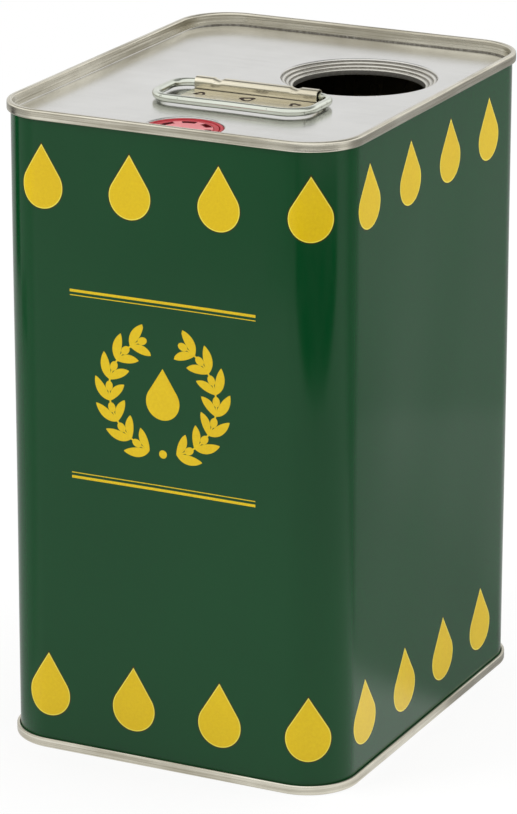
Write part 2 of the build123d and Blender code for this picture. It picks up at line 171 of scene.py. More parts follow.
@dataclass
class Surface:
    """Vertices in mm, faces, and named values on the vertices, before they become a Blender mesh."""

    points: np.ndarray
    faces: list[tuple[int, ...]]
    values: dict[str, np.ndarray] = field(default_factory=dict)

    @staticmethod
    def grid(
        points: np.ndarray, close_rows: bool = False, close_columns: bool = False,
        cap_rows: bool = False, **values: np.ndarray,
    ) -> "Surface":
        """A grid of points as a surface.

        Args:
            points: (rows, columns, 3) places in mm.
            close_rows: whether the last row joins the first.
            close_columns: whether the last column joins the first.
            cap_rows: whether the first and last rows are filled, each with one face.
            values: named values, each (rows, columns).

        Returns:
            The surface.
        """
        rows, columns = points.shape[:2]
        faces = [tuple(q) for q in grid_faces(rows, columns, close_rows, close_columns).tolist()]
        if cap_rows:
            last = (rows - 1) * columns
            faces += [tuple(range(columns - 1, -1, -1)), tuple(range(last, last + columns))]
        flat = {name: np.asarray(v, float).reshape(-1) for name, v in values.items()}
        return Surface(points.reshape(-1, 3), faces, flat)

    def with_rows(self, columns: int, **rows: np.ndarray) -> "Surface":
        """Adds named values that stay the same along each row of the grid, and returns the surface."""
        self.values.update({name: np.repeat(np.asarray(v, float), columns) for name, v in rows.items()})
        return self

    def __add__(self, other: "Surface") -> "Surface":
        """Both surfaces in one. A value that one of them lacks is 0 there."""
        shift = len(self.points)
        faces = self.faces + [tuple(v + shift for v in f) for f in other.faces]
        names = set(self.values) | set(other.values)
        values = {
            n: np.concatenate([
                self.values.get(n, np.zeros(len(self.points))),
                other.values.get(n, np.zeros(len(other.points))),
            ])
            for n in names
        }
        return Surface(np.vstack([self.points, other.points]), faces, values)

    def to_object(self, name: str, merge: float = 0.0, smooth_angle: float = 35.0) -> bpy.types.Object:
        """Makes the Blender object, with its place in its mesh and its faces pointing outwards.

        Args:
            name: the piece's name.
            merge: distance in mm within which vertices become one, or 0 for none.
            smooth_angle: edges that turn by more than this, in degrees, stay sharp.

        Returns:
            The new object, linked to the scene.
        """
        mesh = bpy.data.meshes.new(name)
        mesh.from_pydata((self.points * MM).tolist(), [], self.faces)
        for key, value in self.values.items():
            layer = mesh.attributes.new(key, "FLOAT", "POINT")
            layer.data.foreach_set("value", value.astype(np.float32))
        bm = bmesh.new()
        bm.from_mesh(mesh)
        if merge:
            bmesh.ops.remove_doubles(bm, verts=bm.verts, dist=merge * MM)
        bmesh.ops.recalc_face_normals(bm, faces=bm.faces)
        bm.to_mesh(mesh)
        bm.free()
        mesh.polygons.foreach_set("use_smooth", np.ones(len(mesh.polygons), bool))
        mesh.set_sharp_from_angle(angle=math.radians(smooth_angle))
        piece = bpy.data.objects.new(name, mesh)
        bpy.context.scene.collection.objects.link(piece)
        return piece


def turned(
    centre: tuple[float, float], radius: np.ndarray | float, height: np.ndarray | float, angle: np.ndarray
) -> np.ndarray:
    """Places about a vertical axis, (..., 3): x = cx + r cos a, y = cy + r sin a, z = height."""
    x, y = centre[0] + radius * np.cos(angle), centre[1] + radius * np.sin(angle)
    return np.stack([x, y, np.broadcast_to(height, x.shape)], axis=-1)


def angles(steps: int) -> np.ndarray:
    """Even angles once round."""
    return np.linspace(0.0, TURN, steps, endpoint=False)


def revolve(profile: np.ndarray, centre: tuple[float, float], steps: int, closed: bool = True) -> Surface:
    """Turns a profile of (radius, height) about a vertical axis.

    Args:
        profile: (n, 2) points, a closed ring unless closed is false.
        centre: the axis's x and y in mm.
        steps: columns round the axis.
        closed: whether the profile's last point joins its first.

    Returns:
        The surface.
    """
    points = turned(centre, profile[:, :1], profile[:, 1:], angles(steps)[None])
    return Surface.grid(points, close_rows=closed, close_columns=True)


def read_all(items: bpy.types.bpy_prop_collection, name: str, kind: type, width: int = 1) -> np.ndarray:
    """One property of all of a mesh's corners, vertices or faces, as a flat array."""
    values = np.empty(len(items) * width, kind)
    items.foreach_get(name, values)
    return values


def fill_flat(outlines: Sequence[np.ndarray], level: float) -> Surface:
    """A flat, horizontal face with holes, bounded by closed outlines.

    Args:
        outlines: (n, 2) rings: the outer one and its holes.
        level: height in mm.

    Returns:
        The triangles between the rings.
    """
    bm = bmesh.new()
    edges = []
    for ring in outlines:
        verts = [bm.verts.new((x, y, level)) for x, y in ring.tolist()]
        edges += [bm.edges.new((a, b)) for a, b in zip(verts, verts[1:] + verts[:1])]
    bmesh.ops.triangle_fill(bm, edges=edges, use_beauty=True, use_dissolve=False, normal=(0.0, 0.0, 1.0))
    bm.verts.index_update()
    points = np.array([v.co[:] for v in bm.verts])
    faces = [tuple(v.index for v in f.verts) for f in bm.faces]
    bm.free()
    return Surface(points, faces)


@dataclass(frozen=True)
class RoundedOutline:
    """The tin's outline in plan: a rectangle with round corners, measured from the middle of the front."""

    width: float
    depth: float
    radius: float

    @property
    def length(self) -> float:
        """The way round, in mm."""
        return 2 * (self.width + self.depth - 4 * self.radius) + TURN * self.radius

    @property
    def stretches(self) -> np.ndarray:
        """Lengths of the flats and arcs in turn, from the middle of the front and back to it."""
        flat_x, flat_y = self.width - 2 * self.radius, self.depth - 2 * self.radius
        arc = self.radius * TURN / 4
        return np.array([flat_x / 2, arc, flat_y, arc, flat_x, arc, flat_y, arc, flat_x / 2])

    @property
    def starts(self) -> np.ndarray:
        """Where each stretch starts, and where the last one ends."""
        return np.concatenate([[0.0], np.cumsum(self.stretches)])

    def stretch_at(self, s: np.ndarray) -> np.ndarray:
        """The number of the stretch that each distance lies on."""
        return np.clip(np.searchsorted(self.starts, s, side="right") - 1, 0, len(self.stretches) - 1)

    def stations_like(self, other: "RoundedOutline", stations: np.ndarray) -> np.ndarray:
        """Distances that divide each flat and arc in the same shares as another outline's."""
        part = other.stretch_at(stations)
        share = (stations - other.starts[part]) / other.stretches[part]
        return self.starts[part] + share * self.stretches[part]

    def at(self, s: np.ndarray) -> tuple[np.ndarray, np.ndarray]:
        """Places and outward normals at distances round the outline.

        Args:
            s: distances from the middle of the front, towards +X.

        Returns:
            Places (..., 2) and unit normals (..., 2): straight stretches, and arcs with angle = distance / radius.
        """
        half_w, half_d, r = self.width / 2, self.depth / 2, self.radius
        s = np.mod(s, self.length)
        part = self.stretch_at(s)
        along = s - self.starts[part]
        quarter = (part + 1) // 2
        curved = part % 2 == 1
        heading = (quarter - curved) * (TURN / 4) + np.where(curved, along / r, 0.0)
        corner_x = np.array([half_w, half_w, -half_w, -half_w]) + r * np.array([-1, -1, 1, 1])
        corner_y = np.array([-half_d, half_d, half_d, -half_d]) + r * np.array([1, -1, -1, 1])
        normal = np.stack([np.sin(heading), -np.cos(heading)], axis=-1)
        travel = np.stack([np.cos(heading), np.sin(heading)], axis=-1)
        last = (quarter - 1) % 4
        centre = np.stack([corner_x[last], corner_y[last]], axis=-1)
        first = np.array([0.0, -half_d])
        flat_start = np.where((part == 0)[..., None], first, centre + r * normal)
        place = np.where(curved[..., None], centre + r * normal, flat_start + along[..., None] * travel)
        return place, normal

    def stations(self, per_corner: int, spacing: float) -> np.ndarray:
        """Distances at which a mesh is cut: even steps on each arc, and steps of about spacing on each flat."""
        counts = [per_corner if i % 2 else max(1, round(length / spacing)) for i, length in enumerate(self.stretches)]
        return np.concatenate([
            start + np.linspace(0.0, length, count, endpoint=False)
            for start, length, count in zip(self.starts, self.stretches, counts)
        ])

    def sweep(self, section: np.ndarray, stations: np.ndarray, closed: bool = True) -> Surface:
        """Carries a section round the outline: place = outline + normal * x, height = the section's y.

        Args:
            section: (n, 2) points as distance outside the outline and height.
            stations: distances round the outline.
            closed: whether the section's last point joins its first.

        Returns:
            The surface.
        """
        place, normal = self.at(stations)
        xy = place[None] + normal[None] * section[:, None, :1]
        z = np.broadcast_to(section[:, None, 1:], (*xy.shape[:2], 1))
        return Surface.grid(np.concatenate([xy, z], axis=-1), close_rows=closed, close_columns=True)


# Material tools: node trees and shared effects


class Value:
    """What a node puts out. Arithmetic on values adds the nodes that work it out."""

    def __init__(self, tree: "Tree", socket: bpy.types.NodeSocket) -> None:
        """Keeps the tree and the output."""
        self.tree, self.socket = tree, socket

    def __add__(self, other: object) -> "Value":
        """This value plus another."""
        return self.tree.math("ADD", self, other)

    def __sub__(self, other: object) -> "Value":
        """This value less another."""
        return self.tree.math("SUBTRACT", self, other)

    def __rsub__(self, other: object) -> "Value":
        """A number less this value."""
        return self.tree.math("SUBTRACT", other, self)

    def __mul__(self, other: object) -> "Value":
        """This value times another."""
        return self.tree.math("MULTIPLY", self, other)

    def __truediv__(self, other: object) -> "Value":
        """This value over another."""
        return self.tree.math("DIVIDE", self, other)

    def __mod__(self, other: object) -> "Value":
        """What is left of this value after whole steps of another, never below 0."""
        return self.tree.math("FLOORED_MODULO", self, other)

    def __gt__(self, other: object) -> "Value":
        """1 where this value is over another, and 0 elsewhere."""
        return self.tree.math("GREATER_THAN", self, other)

    def __lt__(self, other: object) -> "Value":
        """1 where this value is under another, and 0 elsewhere."""
        return self.tree.math("LESS_THAN", self, other)

    def __abs__(self) -> "Value":
        """This value without its sign."""
        return self.tree.math("ABSOLUTE", self)


class Tree:
    """A short way to write node trees."""

    def __init__(self, tree: bpy.types.NodeTree) -> None:
        """Keeps the tree that nodes are added to."""
        self.tree = tree

    def feed(self, node: bpy.types.Node, inputs: dict[str | int, object]) -> None:
        """Links each value to the node's input of that name or number, or sets the input's own value."""
        for name, given in inputs.items():
            given = getattr(given, "socket", given)
            if isinstance(given, bpy.types.NodeSocket):
                self.tree.links.new(given, node.inputs[name])
            else:
                node.inputs[name].default_value = given

    def node(self, kind: str, **settings: object) -> bpy.types.Node:
        """Adds a node, sets its own properties, and then feeds what inputs names."""
        made = self.tree.nodes.new(kind)
        inputs = settings.pop("inputs", {})
        for key, value in settings.items():
            setattr(made, key, value)
        self.feed(made, inputs)
        return made

    def read(self, kind: str, output: str | int, **settings: object) -> Value:
        """Adds a node and returns one of its outputs."""
        return Value(self, self.node(kind, **settings).outputs[output])

    def math(self, operation: str, *given: object, clamp: bool = False) -> Value:
        """One step of arithmetic on values and numbers."""
        return self.read("ShaderNodeMath", 0, operation=operation, use_clamp=clamp, inputs=dict(enumerate(given)))

    def hypot(self, a: Value, b: Value) -> Value:
        """The square root of a squared plus b squared."""
        return self.math("SQRT", a * a + b * b)

    def largest(self, first: Value, *others: Value) -> Value:
        """The largest of some values."""
        for other in others:
            first = self.math("MAXIMUM", first, other)
        return first

    def ramp(self, value: Value, low: float, high: float, out_low: float = 0.0, out_high: float = 1.0) -> Value:
        """Maps a value smoothly from low..high to out_low..out_high, and holds it beyond."""
        inputs = {"Value": value, "From Min": low, "From Max": high, "To Min": out_low, "To Max": out_high}
        return self.read("ShaderNodeMapRange", "Result", interpolation_type="SMOOTHSTEP", inputs=inputs)

    def mix(self, share: object, first: object, second: object) -> Value:
        """Mixes two colours: first where share is 0, second where it is 1."""
        return self.read("ShaderNodeMix", 2, data_type="RGBA", inputs={0: share, 6: first, 7: second})

    def choose(self, share: Value, first: Value, second: Value) -> Value:
        """Mixes two numbers: first where share is 0, second where it is 1."""
        return self.read("ShaderNodeMix", 0, data_type="FLOAT", inputs={0: share, 2: first, 3: second})

    def noise(self, vector: Value, scale: float, detail: float = 3.0, roughness: float = 0.5) -> Value:
        """Noise from 0 to 1 at a scale in cycles per metre."""
        inputs = {"Vector": vector, "Scale": scale, "Detail": detail, "Roughness": roughness}
        return self.read("ShaderNodeTexNoise", "Fac", inputs=inputs)

    def drawn_noise(self, vector: Value, scales: tuple[float, float, float], detail: float,
                    roughness: float = 0.5) -> Value:
        """Noise with its own scale along each axis, in cycles per metre."""
        stretched = self.read("ShaderNodeMapping", "Vector", inputs={"Vector": vector, "Scale": scales})
        return self.noise(stretched, 1.0, detail, roughness)

    def parts(self, vector: Value) -> list[Value]:
        """A vector's X, Y and Z."""
        return [Value(self, s) for s in self.node("ShaderNodeSeparateXYZ", inputs={"Vector": vector}).outputs]

    def place(self) -> Value:
        """The place on the object, in metres."""
        return self.read("ShaderNodeTexCoord", "Object")

    def attribute(self, name: str) -> Value:
        """A named value stored on the mesh."""
        return self.read("ShaderNodeAttribute", "Fac", attribute_name=name)

    def bump(self, height: Value, strength: float, depth: float) -> Value:
        """A bump normal from a height, with its depth in metres."""
        return self.read("ShaderNodeBump", "Normal",
                         inputs={"Height": height, "Strength": strength, "Distance": depth})

    def group(self, group: bpy.types.NodeTree, **inputs: object) -> dict[str, Value]:
        """Puts a shared group into the tree, fed with its own values, and returns its outputs by name."""
        made = self.node("ShaderNodeGroup", node_tree=group, inputs=inputs)
        return {s.name: Value(self, s) for s in made.outputs}

    def put_out(self, **values: Value) -> bpy.types.NodeTree:
        """Gives a group's tree its outputs, and returns the group."""
        for name in values:
            self.tree.interface.new_socket(name, in_out="OUTPUT", socket_type="NodeSocketFloat")
        self.node("NodeGroupOutput", inputs=values)
        return self.tree


Colour = tuple[float, float, float, float]


def srgb(red: int, green: int, blue: int) -> Colour:
    """A colour given as 0 to 255 screen values, as linear light."""
    parts = [c / 255 for c in (red, green, blue)]
    return (*[c / 12.92 if c <= 0.04045 else ((c + 0.055) / 1.055) ** 2.4 for c in parts], 1.0)


BLACK, WHITE = (0.0, 0.0, 0.0, 1.0), (1.0, 1.0, 1.0, 1.0)


def new_group(name: str, **inputs: float | tuple[float, float, float]) -> tuple[Tree, dict[str, Value]]:
    """Starts a shader node group.

    Args:
        name: the group's name.
        inputs: its inputs' own values. A tuple makes a vector input, and a number makes a number input.

    Returns:
        The group's tree, and its inputs by name.
    """
    group = bpy.data.node_groups.new(name, "ShaderNodeTree")
    for key, value in inputs.items():
        kind = "NodeSocketVector" if isinstance(value, tuple) else "NodeSocketFloat"
        group.interface.new_socket(key, in_out="INPUT", socket_type=kind).default_value = value
    t = Tree(group)
    return t, {s.name: Value(t, s) for s in t.node("NodeGroupInput").outputs}


ORIGIN = (0.0, 0.0, 0.0)


def sheet_grain_group() -> bpy.types.NodeTree:
    """Rolled sheet: streaks that change fast with Across and slowly with X and Y, cloudy patches, and scuffs."""
    t, given = new_group("sheet_grain", Vector=ORIGIN, Across=0.0, Streaks=0.5, Clouds=0.5)
    vector = given["Vector"]
    x, y, _ = t.parts(vector)
    lane = t.read("ShaderNodeCombineXYZ", "Vector", inputs={"X": x, "Y": y, "Z": given["Across"]})
    fine = t.drawn_noise(lane, (30.0, 30.0, 2600.0), detail=2.0)
    broad = t.drawn_noise(lane, (8.0, 8.0, 420.0), detail=2.0)
    cloud = t.noise(vector, scale=38.0, detail=4.0, roughness=0.6)
    scuff = t.ramp(t.drawn_noise(vector, (60.0, 900.0, 900.0), detail=1.0), 0.68, 0.8)
    streak = (fine * 0.6 + broad * 0.4 - 0.5) * given["Streaks"]
    tone = streak + (cloud - 0.5) * given["Clouds"] + 0.5
    return t.put_out(Tone=t.math("SUBTRACT", tone, scuff * 0.05, clamp=True), Height=streak - scuff * 0.4)


def varnish_group() -> bpy.types.NodeTree:
    """Varnish over print: orange peel, drift of the ink's tone with fine specks, and light rub marks."""
    t, given = new_group("varnish", Vector=ORIGIN, Peel=0.5, Drift=0.5)
    vector = given["Vector"]
    peel = t.noise(vector, scale=520.0, detail=2.0)
    drift = t.noise(vector, scale=16.0, detail=3.0, roughness=0.55)
    speck = t.noise(vector, scale=1900.0, detail=2.0, roughness=0.6)
    rub = t.drawn_noise(vector, (140.0, 140.0, 22.0), detail=3.0, roughness=0.65)
    tone = (drift - 0.5) * given["Drift"] + 0.5 + (speck - 0.5) * 0.12
    return t.put_out(Tone=tone, Roughness=t.ramp(rub, 0.35, 0.75, 0.0, 0.08), Height=peel * given["Peel"])


def plastic_skin_group() -> bpy.types.NodeTree:
    """Moulded plastic: a faint spark-eroded texture and slow waves of tone."""
    t, given = new_group("plastic_skin", Vector=ORIGIN, Texture=0.5)
    texture = t.noise(given["Vector"], scale=2400.0, detail=2.0, roughness=0.6)
    wave = t.noise(given["Vector"], scale=130.0, detail=2.0)
    return t.put_out(Tone=t.ramp(wave, 0.3, 0.7, 0.35, 0.65), Height=texture * given["Texture"])


def drop_shape_group() -> bpy.types.NodeTree:
    """An oil drop: a circle about the origin and two straight sides that meet in a point above it.

    Inset is the distance inside the edge. Where the point lies above the tangent points it is
    radius - (|across| cos a + up sin a), and elsewhere radius - the distance from the origin.
    """
    t, given = new_group("drop_shape", Across=0.0, Up=0.0, Radius=7.0, Angle=0.56)
    across, up = abs(given["Across"]), given["Up"]
    sine, cosine = t.math("SINE", given["Angle"]), t.math("COSINE", given["Angle"])
    side = across * cosine + up * sine
    above = up * cosine > across * sine
    return t.put_out(Inset=given["Radius"] - (above * side + (1.0 - above) * t.hypot(across, up)))


class Effects:
    """The shared node groups, built once."""

    def __init__(self) -> None:
        """Builds each group."""
        self.sheet_grain = sheet_grain_group()
        self.varnish = varnish_group()
        self.plastic_skin = plastic_skin_group()
        self.drop_shape = drop_shape_group()


def empty_tree(owner: bpy.types.Material | bpy.types.World) -> Tree:
    """Gives a material or a world an empty node tree."""
    owner.use_nodes = True
    owner.node_tree.nodes.clear()
    return Tree(owner.node_tree)


def new_material(name: str) -> tuple[bpy.types.Material, Tree, bpy.types.Node]:
    """An empty material, its tree, and its Principled shader, already linked to the output."""
    material = bpy.data.materials.new(name)
    t = empty_tree(material)
    shader = t.node("ShaderNodeBsdfPrincipled")
    t.node("ShaderNodeOutputMaterial", inputs={"Surface": shader.outputs["BSDF"]})
    return material, t, shader


# The print and the finishes

HALF_ROUND = 242.265  # half the way round the tin, in mm
DROP_HALF_ANGLE = math.radians(32.0)


@dataclass(frozen=True)
class DropRows:
    """Two rows of drops round the tin, each of four on every face. Lengths are in mm."""

    front_start: float = -40.0
    front_pitch: float = 29.45
    side_start: float = 73.2
    side_pitch: float = 29.4
    side_stretch: float = 1.1
    per_face: int = 4
    rows: tuple[tuple[float, float], ...] = ((180.6, 7.25), (17.9, 7.55))

    def inset(self, t: Tree, shape: bpy.types.NodeTree, s: Value, z: Value) -> Value:
        """The distance inside the nearest drop.

        The pattern repeats after half the way round. Inside a repeat each face's drops lie at an even pitch.
        Each row has its level and its drops' radius.

        Args:
            t: the material's tree.
            shape: the drop's group.
            s: the distance round the tin.
            z: the height.

        Returns:
            The distance, which is negative outside the drops.
        """
        front_from = self.front_start - self.front_pitch / 2
        front_end = self.front_start + self.per_face * self.front_pitch - self.front_pitch / 2
        side_from = self.side_start - self.side_pitch / 2
        reach = side_from - front_from
        repeat = (s - front_from) % HALF_ROUND
        on_side = repeat > reach + (front_end - side_from) / 2
        front = repeat % self.front_pitch - self.front_pitch / 2
        beyond = repeat - reach
        side = (beyond % self.side_pitch - self.side_pitch / 2) / self.side_stretch
        past = beyond > self.per_face * self.side_pitch
        across = t.choose(on_side, front, side) + past * HALF_ROUND
        return t.largest(*[
            t.group(shape, Across=across, Up=z - level, Radius=radius, Angle=DROP_HALF_ANGLE)["Inset"]
            for level, radius in self.rows
        ])


@dataclass(frozen=True)
class Wreath:
    """A plain printed ornament for the front: an olive wreath round one drop, between double rules, in mm."""

    level: float = 120.0
    radius: float = 18.0
    cells: int = 7
    cell_trim: float = 0.04
    first: float = 0.24
    last: float = 2.86
    leaf: float = 8.2
    leaf_half_width: float = 1.45
    leaf_angle: float = math.radians(37.0)
    leaf_lap: float = 0.25
    olive: float = 1.2
    olive_along: float = 1.5
    olive_squeeze: float = 0.75
    stem: float = 0.28
    knot: float = 1.3
    drop_radius: float = 5.6
    drop_sink: float = 0.3
    rule_half_width: float = 31.0
    rules: tuple[tuple[float, float], ...] = ((29.5, 0.42), (28.1, 0.14))

    def inset(self, t: Tree, shape: bpy.types.NodeTree, s: Value, z: Value) -> Value:
        """The distance inside the ornament's ink.

        Each half of the wreath is cut into equal cells by angle. In a cell x runs along the branch and y across it.
        A leaf is where two circles overlap: R - hypot(|across| + R - w, along), with R = (h^2 + w^2) / 2w.

        Args:
            t: the material's tree.
            shape: the drop's group.
            s: the distance round the tin.
            z: the height.

        Returns:
            The distance, which is negative outside the ink.
        """
        up = z - self.level
        angle = t.math("ARCTAN2", abs(s), up * -1.0)
        cell_angle = (self.last - self.first) / self.cells
        pitch = cell_angle * self.radius
        count = (angle - self.first) / cell_angle
        x = (t.math("FRACT", count) - 0.5) * pitch
        y = t.hypot(s, up) - self.radius
        from_root = x + (pitch / 2 - self.leaf_lap)
        cos_a, sin_a = math.cos(self.leaf_angle), math.sin(self.leaf_angle)
        high = abs(y)
        along = from_root * cos_a + high * sin_a
        across = high * cos_a - from_root * sin_a
        half, wide = self.leaf / 2, self.leaf_half_width
        bow = (half * half + wide * wide) / (2 * wide)
        leaf = bow - t.hypot(abs(across) + (bow - wide), along - half)
        olive = self.olive - t.hypot((x - self.olive_along) * self.olive_squeeze, y)
        inside = (count > self.cell_trim) * (count < self.cells - self.cell_trim)
        branch = t.largest(leaf, olive, self.stem - high) - (1.0 - inside) * (2 * self.radius)
        drop = t.group(shape, Across=s, Up=up + self.drop_sink * self.drop_radius, Radius=self.drop_radius,
                       Angle=DROP_HALF_ANGLE)["Inset"]
        best = t.largest(branch, drop, self.knot - t.hypot(s, up + self.radius))
        for level, half_width in self.rules:
            line = half_width - abs(abs(up) - level)
            best = t.largest(best, t.math("MINIMUM", line, self.rule_half_width - abs(s)))
        return best


@dataclass(frozen=True)
class PrintedTinplate:
    """Green and yellow print under clear varnish, with bare lacquered metal inside and along the weld.

    Each drop has a pale keyline inside its edge and a dark trap line at it. Widths are in mm.
    """

    green: Colour = srgb(0, 68, 30)
    deep: Colour = srgb(0, 58, 25)
    yellow: Colour = srgb(228, 198, 18)
    ochre: Colour = srgb(208, 170, 12)
    keyline: Colour = srgb(232, 218, 84)
    trap: Colour = srgb(52, 44, 4)
    bare: Colour = srgb(186, 182, 168)
    lacquer: Colour = srgb(150, 138, 104)
    trap_width: float = 0.34
    keyline_width: float = 0.3
    mottle: float = 0.9
    blur: float = 0.05
    weld_half_width: float = 2.2
    roughness: float = 0.1
    bare_roughness: float = 0.15
    bare_metal: float = 0.9
    inside_band: tuple[float, float] = (0.45, 0.55)
    gloss: float = 0.26
    drops: DropRows = DropRows()
    wreath: Wreath = Wreath()

    def past(self, t: Tree, value: Value, edge: float) -> Value:
        """1 where a value is past an edge, and 0 before it, softened by the blur."""
        return t.ramp(value, edge - self.blur, edge + self.blur)

    def build(self, effects: Effects) -> bpy.types.Material:
        """Makes the material. It reads the UV map print, and the mesh's value inside, which is 1 on the inner face."""
        material, t, shader = new_material("printed_tinplate")
        u, v, _ = t.parts(t.read("ShaderNodeUVMap", "UV", uv_map="print"))
        s, z = u / MM, v / MM
        skin = t.group(effects.varnish, Vector=t.place(), Peel=0.6, Drift=0.7)
        tone = skin["Tone"]
        grain = t.noise(t.place(), scale=1100.0, detail=3.0, roughness=0.7) - 0.5
        ink = t.mix(t.math("ADD", tone, grain * self.mottle, clamp=True), self.ochre, self.yellow)

        drop = self.drops.inset(t, effects.drop_shape, s, z)
        yellow = t.mix(self.past(t, drop, self.trap_width + self.keyline_width), self.keyline, ink)
        drawn = t.mix(self.past(t, drop, self.trap_width), self.trap, yellow)
        printed = t.mix(self.past(t, drop, 0.0), t.mix(tone, self.deep, self.green), drawn)
        ornament = self.wreath.inset(t, effects.drop_shape, s, z)
        printed = t.mix(self.past(t, ornament, 0.0), printed, ink)

        weld = self.past(t, abs(s), HALF_ROUND - self.weld_half_width)
        inside = t.ramp(t.attribute("inside"), *self.inside_band)
        bare = t.largest(weld, inside)
        t.feed(shader, {
            "Base Color": t.mix(bare, printed, t.mix(inside, self.bare, self.lacquer)),
            "Metallic": bare * self.bare_metal,
            "Roughness": skin["Roughness"] + self.roughness + bare * self.bare_roughness,
            "Specular IOR Level": self.gloss,
            "Normal": t.bump(skin["Height"], strength=0.12, depth=0.00004),
        })
        return material


@dataclass(frozen=True)
class BareTinplate:
    """Bare rolled tinplate, with streaks and cloudy patches, worked rims, rust, and painted shade in creases and
    hollows.

    The mesh's values say where: worked on bent sheet, across as the way over a bent sheet's section in metres,
    rust at spot welds, and grime where shade is painted into creases and hollows as a dark, dull colour
    broken up by grit. A band is the pair of values between which an effect fades in.
    """

    name: str = "bare_tinplate"
    light: Colour = srgb(213, 213, 210)
    dark: Colour = srgb(191, 190, 187)
    worked: Colour = srgb(224, 220, 205)
    worked_dark: Colour = srgb(158, 152, 134)
    # The colour of the painted shade in creases and hollows.
    painted_shade_colour: Colour = srgb(56, 49, 36)
    rust: Colour = srgb(34, 21, 13)
    roughness: float = 0.18
    worked_roughness: float = 0.08
    dull_roughness: float = 0.3
    streaks: float = 0.35
    worked_streaks: float = 2.8
    clouds: float = 0.6
    worked_clouds: float = 1.2
    worked_band: tuple[float, float] = (0.2, 0.4)
    rust_grit: float = 0.5
    rust_band: tuple[float, float] = (0.86, 1.06)
    shade_band: tuple[float, float] = (0.3, 0.6)
    shade_least: float = 0.7
    shade_dullness: float = 0.6
    dull_metal_loss: float = 0.9
    tone_band: tuple[float, float] = (0.2, 0.8)
    tone_roughness: tuple[float, float] = (0.06, -0.04)
    gloss: float = 0.15

    def build(self, effects: Effects) -> bpy.types.Material:
        """Makes the material. Streaks follow object Y on flat sheet and the value across on worked sheet."""
        material, t, shader = new_material(self.name)
        vector = t.place()
        worked = t.attribute("worked")
        lane = t.choose(t.ramp(worked, *self.worked_band), t.parts(vector)[1], t.attribute("across"))
        grain = t.group(
            effects.sheet_grain, Vector=vector, Across=lane,
            Streaks=worked * (self.worked_streaks - self.streaks) + self.streaks,
            Clouds=worked * (self.worked_clouds - self.clouds) + self.clouds,
        )
        tone = grain["Tone"]
        clean = t.mix(worked, t.mix(tone, self.dark, self.light), t.mix(tone, self.worked_dark, self.worked))
        grit = t.noise(vector, scale=1400.0, detail=3.0)
        rust = t.ramp(t.attribute("rust") + grit * self.rust_grit, *self.rust_band)
        # Painted shade: darkens and dulls the metal where the mesh marks creases and hollows.
        grime = t.attribute("grime") * t.ramp(grit, *self.shade_band, self.shade_least)
        dull = t.largest(rust, grime * self.shade_dullness)
        rough = t.ramp(tone, *self.tone_band, *[self.roughness + step for step in self.tone_roughness])
        t.feed(shader, {
            "Base Color": t.mix(rust, t.mix(grime, clean, self.painted_shade_colour), self.rust),
            "Metallic": 1.0 - dull * self.dull_metal_loss,
            "Specular IOR Level": self.gloss,
            "Roughness": rough + worked * self.worked_roughness + dull * self.dull_roughness,
            "Normal": t.bump(grain["Height"], strength=0.18, depth=0.00006),
        })
        return material


@dataclass(frozen=True)
class BrightWire:
    """Tinned steel wire: bright, drawn along its length, with dark nicks."""

    bright: Colour = srgb(220, 223, 213)
    dull: Colour = srgb(176, 181, 168)
    nick: Colour = srgb(84, 82, 70)
    nick_band: tuple[float, float] = (0.64, 0.7)
    nick_strength: float = 0.7
    roughness: float = 0.2
    nick_roughness: float = 0.2

    def build(self, effects: Effects) -> bpy.types.Material:
        """Makes the material. The wire lies flat, so its streaks change with object Z."""
        material, t, shader = new_material("bright_wire")
        vector = t.place()
        grain = t.group(effects.sheet_grain, Vector=vector, Across=t.parts(vector)[2], Streaks=1.1, Clouds=0.8)
        nick = t.ramp(t.noise(vector, scale=620.0, detail=3.0, roughness=0.7), *self.nick_band)
        t.feed(shader, {
            "Base Color": t.mix(nick * self.nick_strength, t.mix(grain["Tone"], self.dull, self.bright), self.nick),
            "Metallic": 1.0,
            "Roughness": nick * self.nick_roughness + self.roughness,
            "Normal": t.bump(grain["Height"], strength=0.2, depth=0.00008),
        })
        return material


@dataclass(frozen=True)
class MouldedPlastic:
    """Moulded polyethylene."""

    name: str
    colour: Colour
    # pale is the colour of a painted sheen on flat tops, and deep that of painted shade in recesses.
    pale: Colour
    deep: Colour
    roughness: float = 0.36
    sheen_roughness: float = 0.1
    sheen_least: float = 0.75
    tone_band: tuple[float, float] = (0.3, 0.7)
    tone_roughness: tuple[float, float] = (-0.04, 0.06)
    gloss: float = 0.35
    glow: float = 0.0
    glow_depth: float = 0.002

    def build(self, effects: Effects) -> bpy.types.Material:
        """Makes the material. Flat tops (bloom) get a painted sheen, and recesses (deep) painted shade."""
        material, t, shader = new_material(self.name)
        skin = t.group(effects.plastic_skin, Vector=t.place(), Texture=0.6)
        # Painted sheen: the flat tops turn towards the pale colour.
        sheen_share = t.attribute("bloom") * t.ramp(skin["Tone"], *self.tone_band, self.sheen_least)
        rough = t.ramp(skin["Tone"], *self.tone_band, *[self.roughness + step for step in self.tone_roughness])
        t.feed(shader, {
            # Painted shade: recesses take the deep colour.
            "Base Color": t.mix(t.attribute("deep"), t.mix(sheen_share, self.colour, self.pale), self.deep),
            "Roughness": rough + sheen_share * self.sheen_roughness,
            "Specular IOR Level": self.gloss,
            "Subsurface Weight": self.glow,
            "Subsurface Scale": self.glow_depth,
            "Normal": t.bump(skin["Height"], strength=0.15, depth=0.00004),
        })
        return material


# The tin's pieces


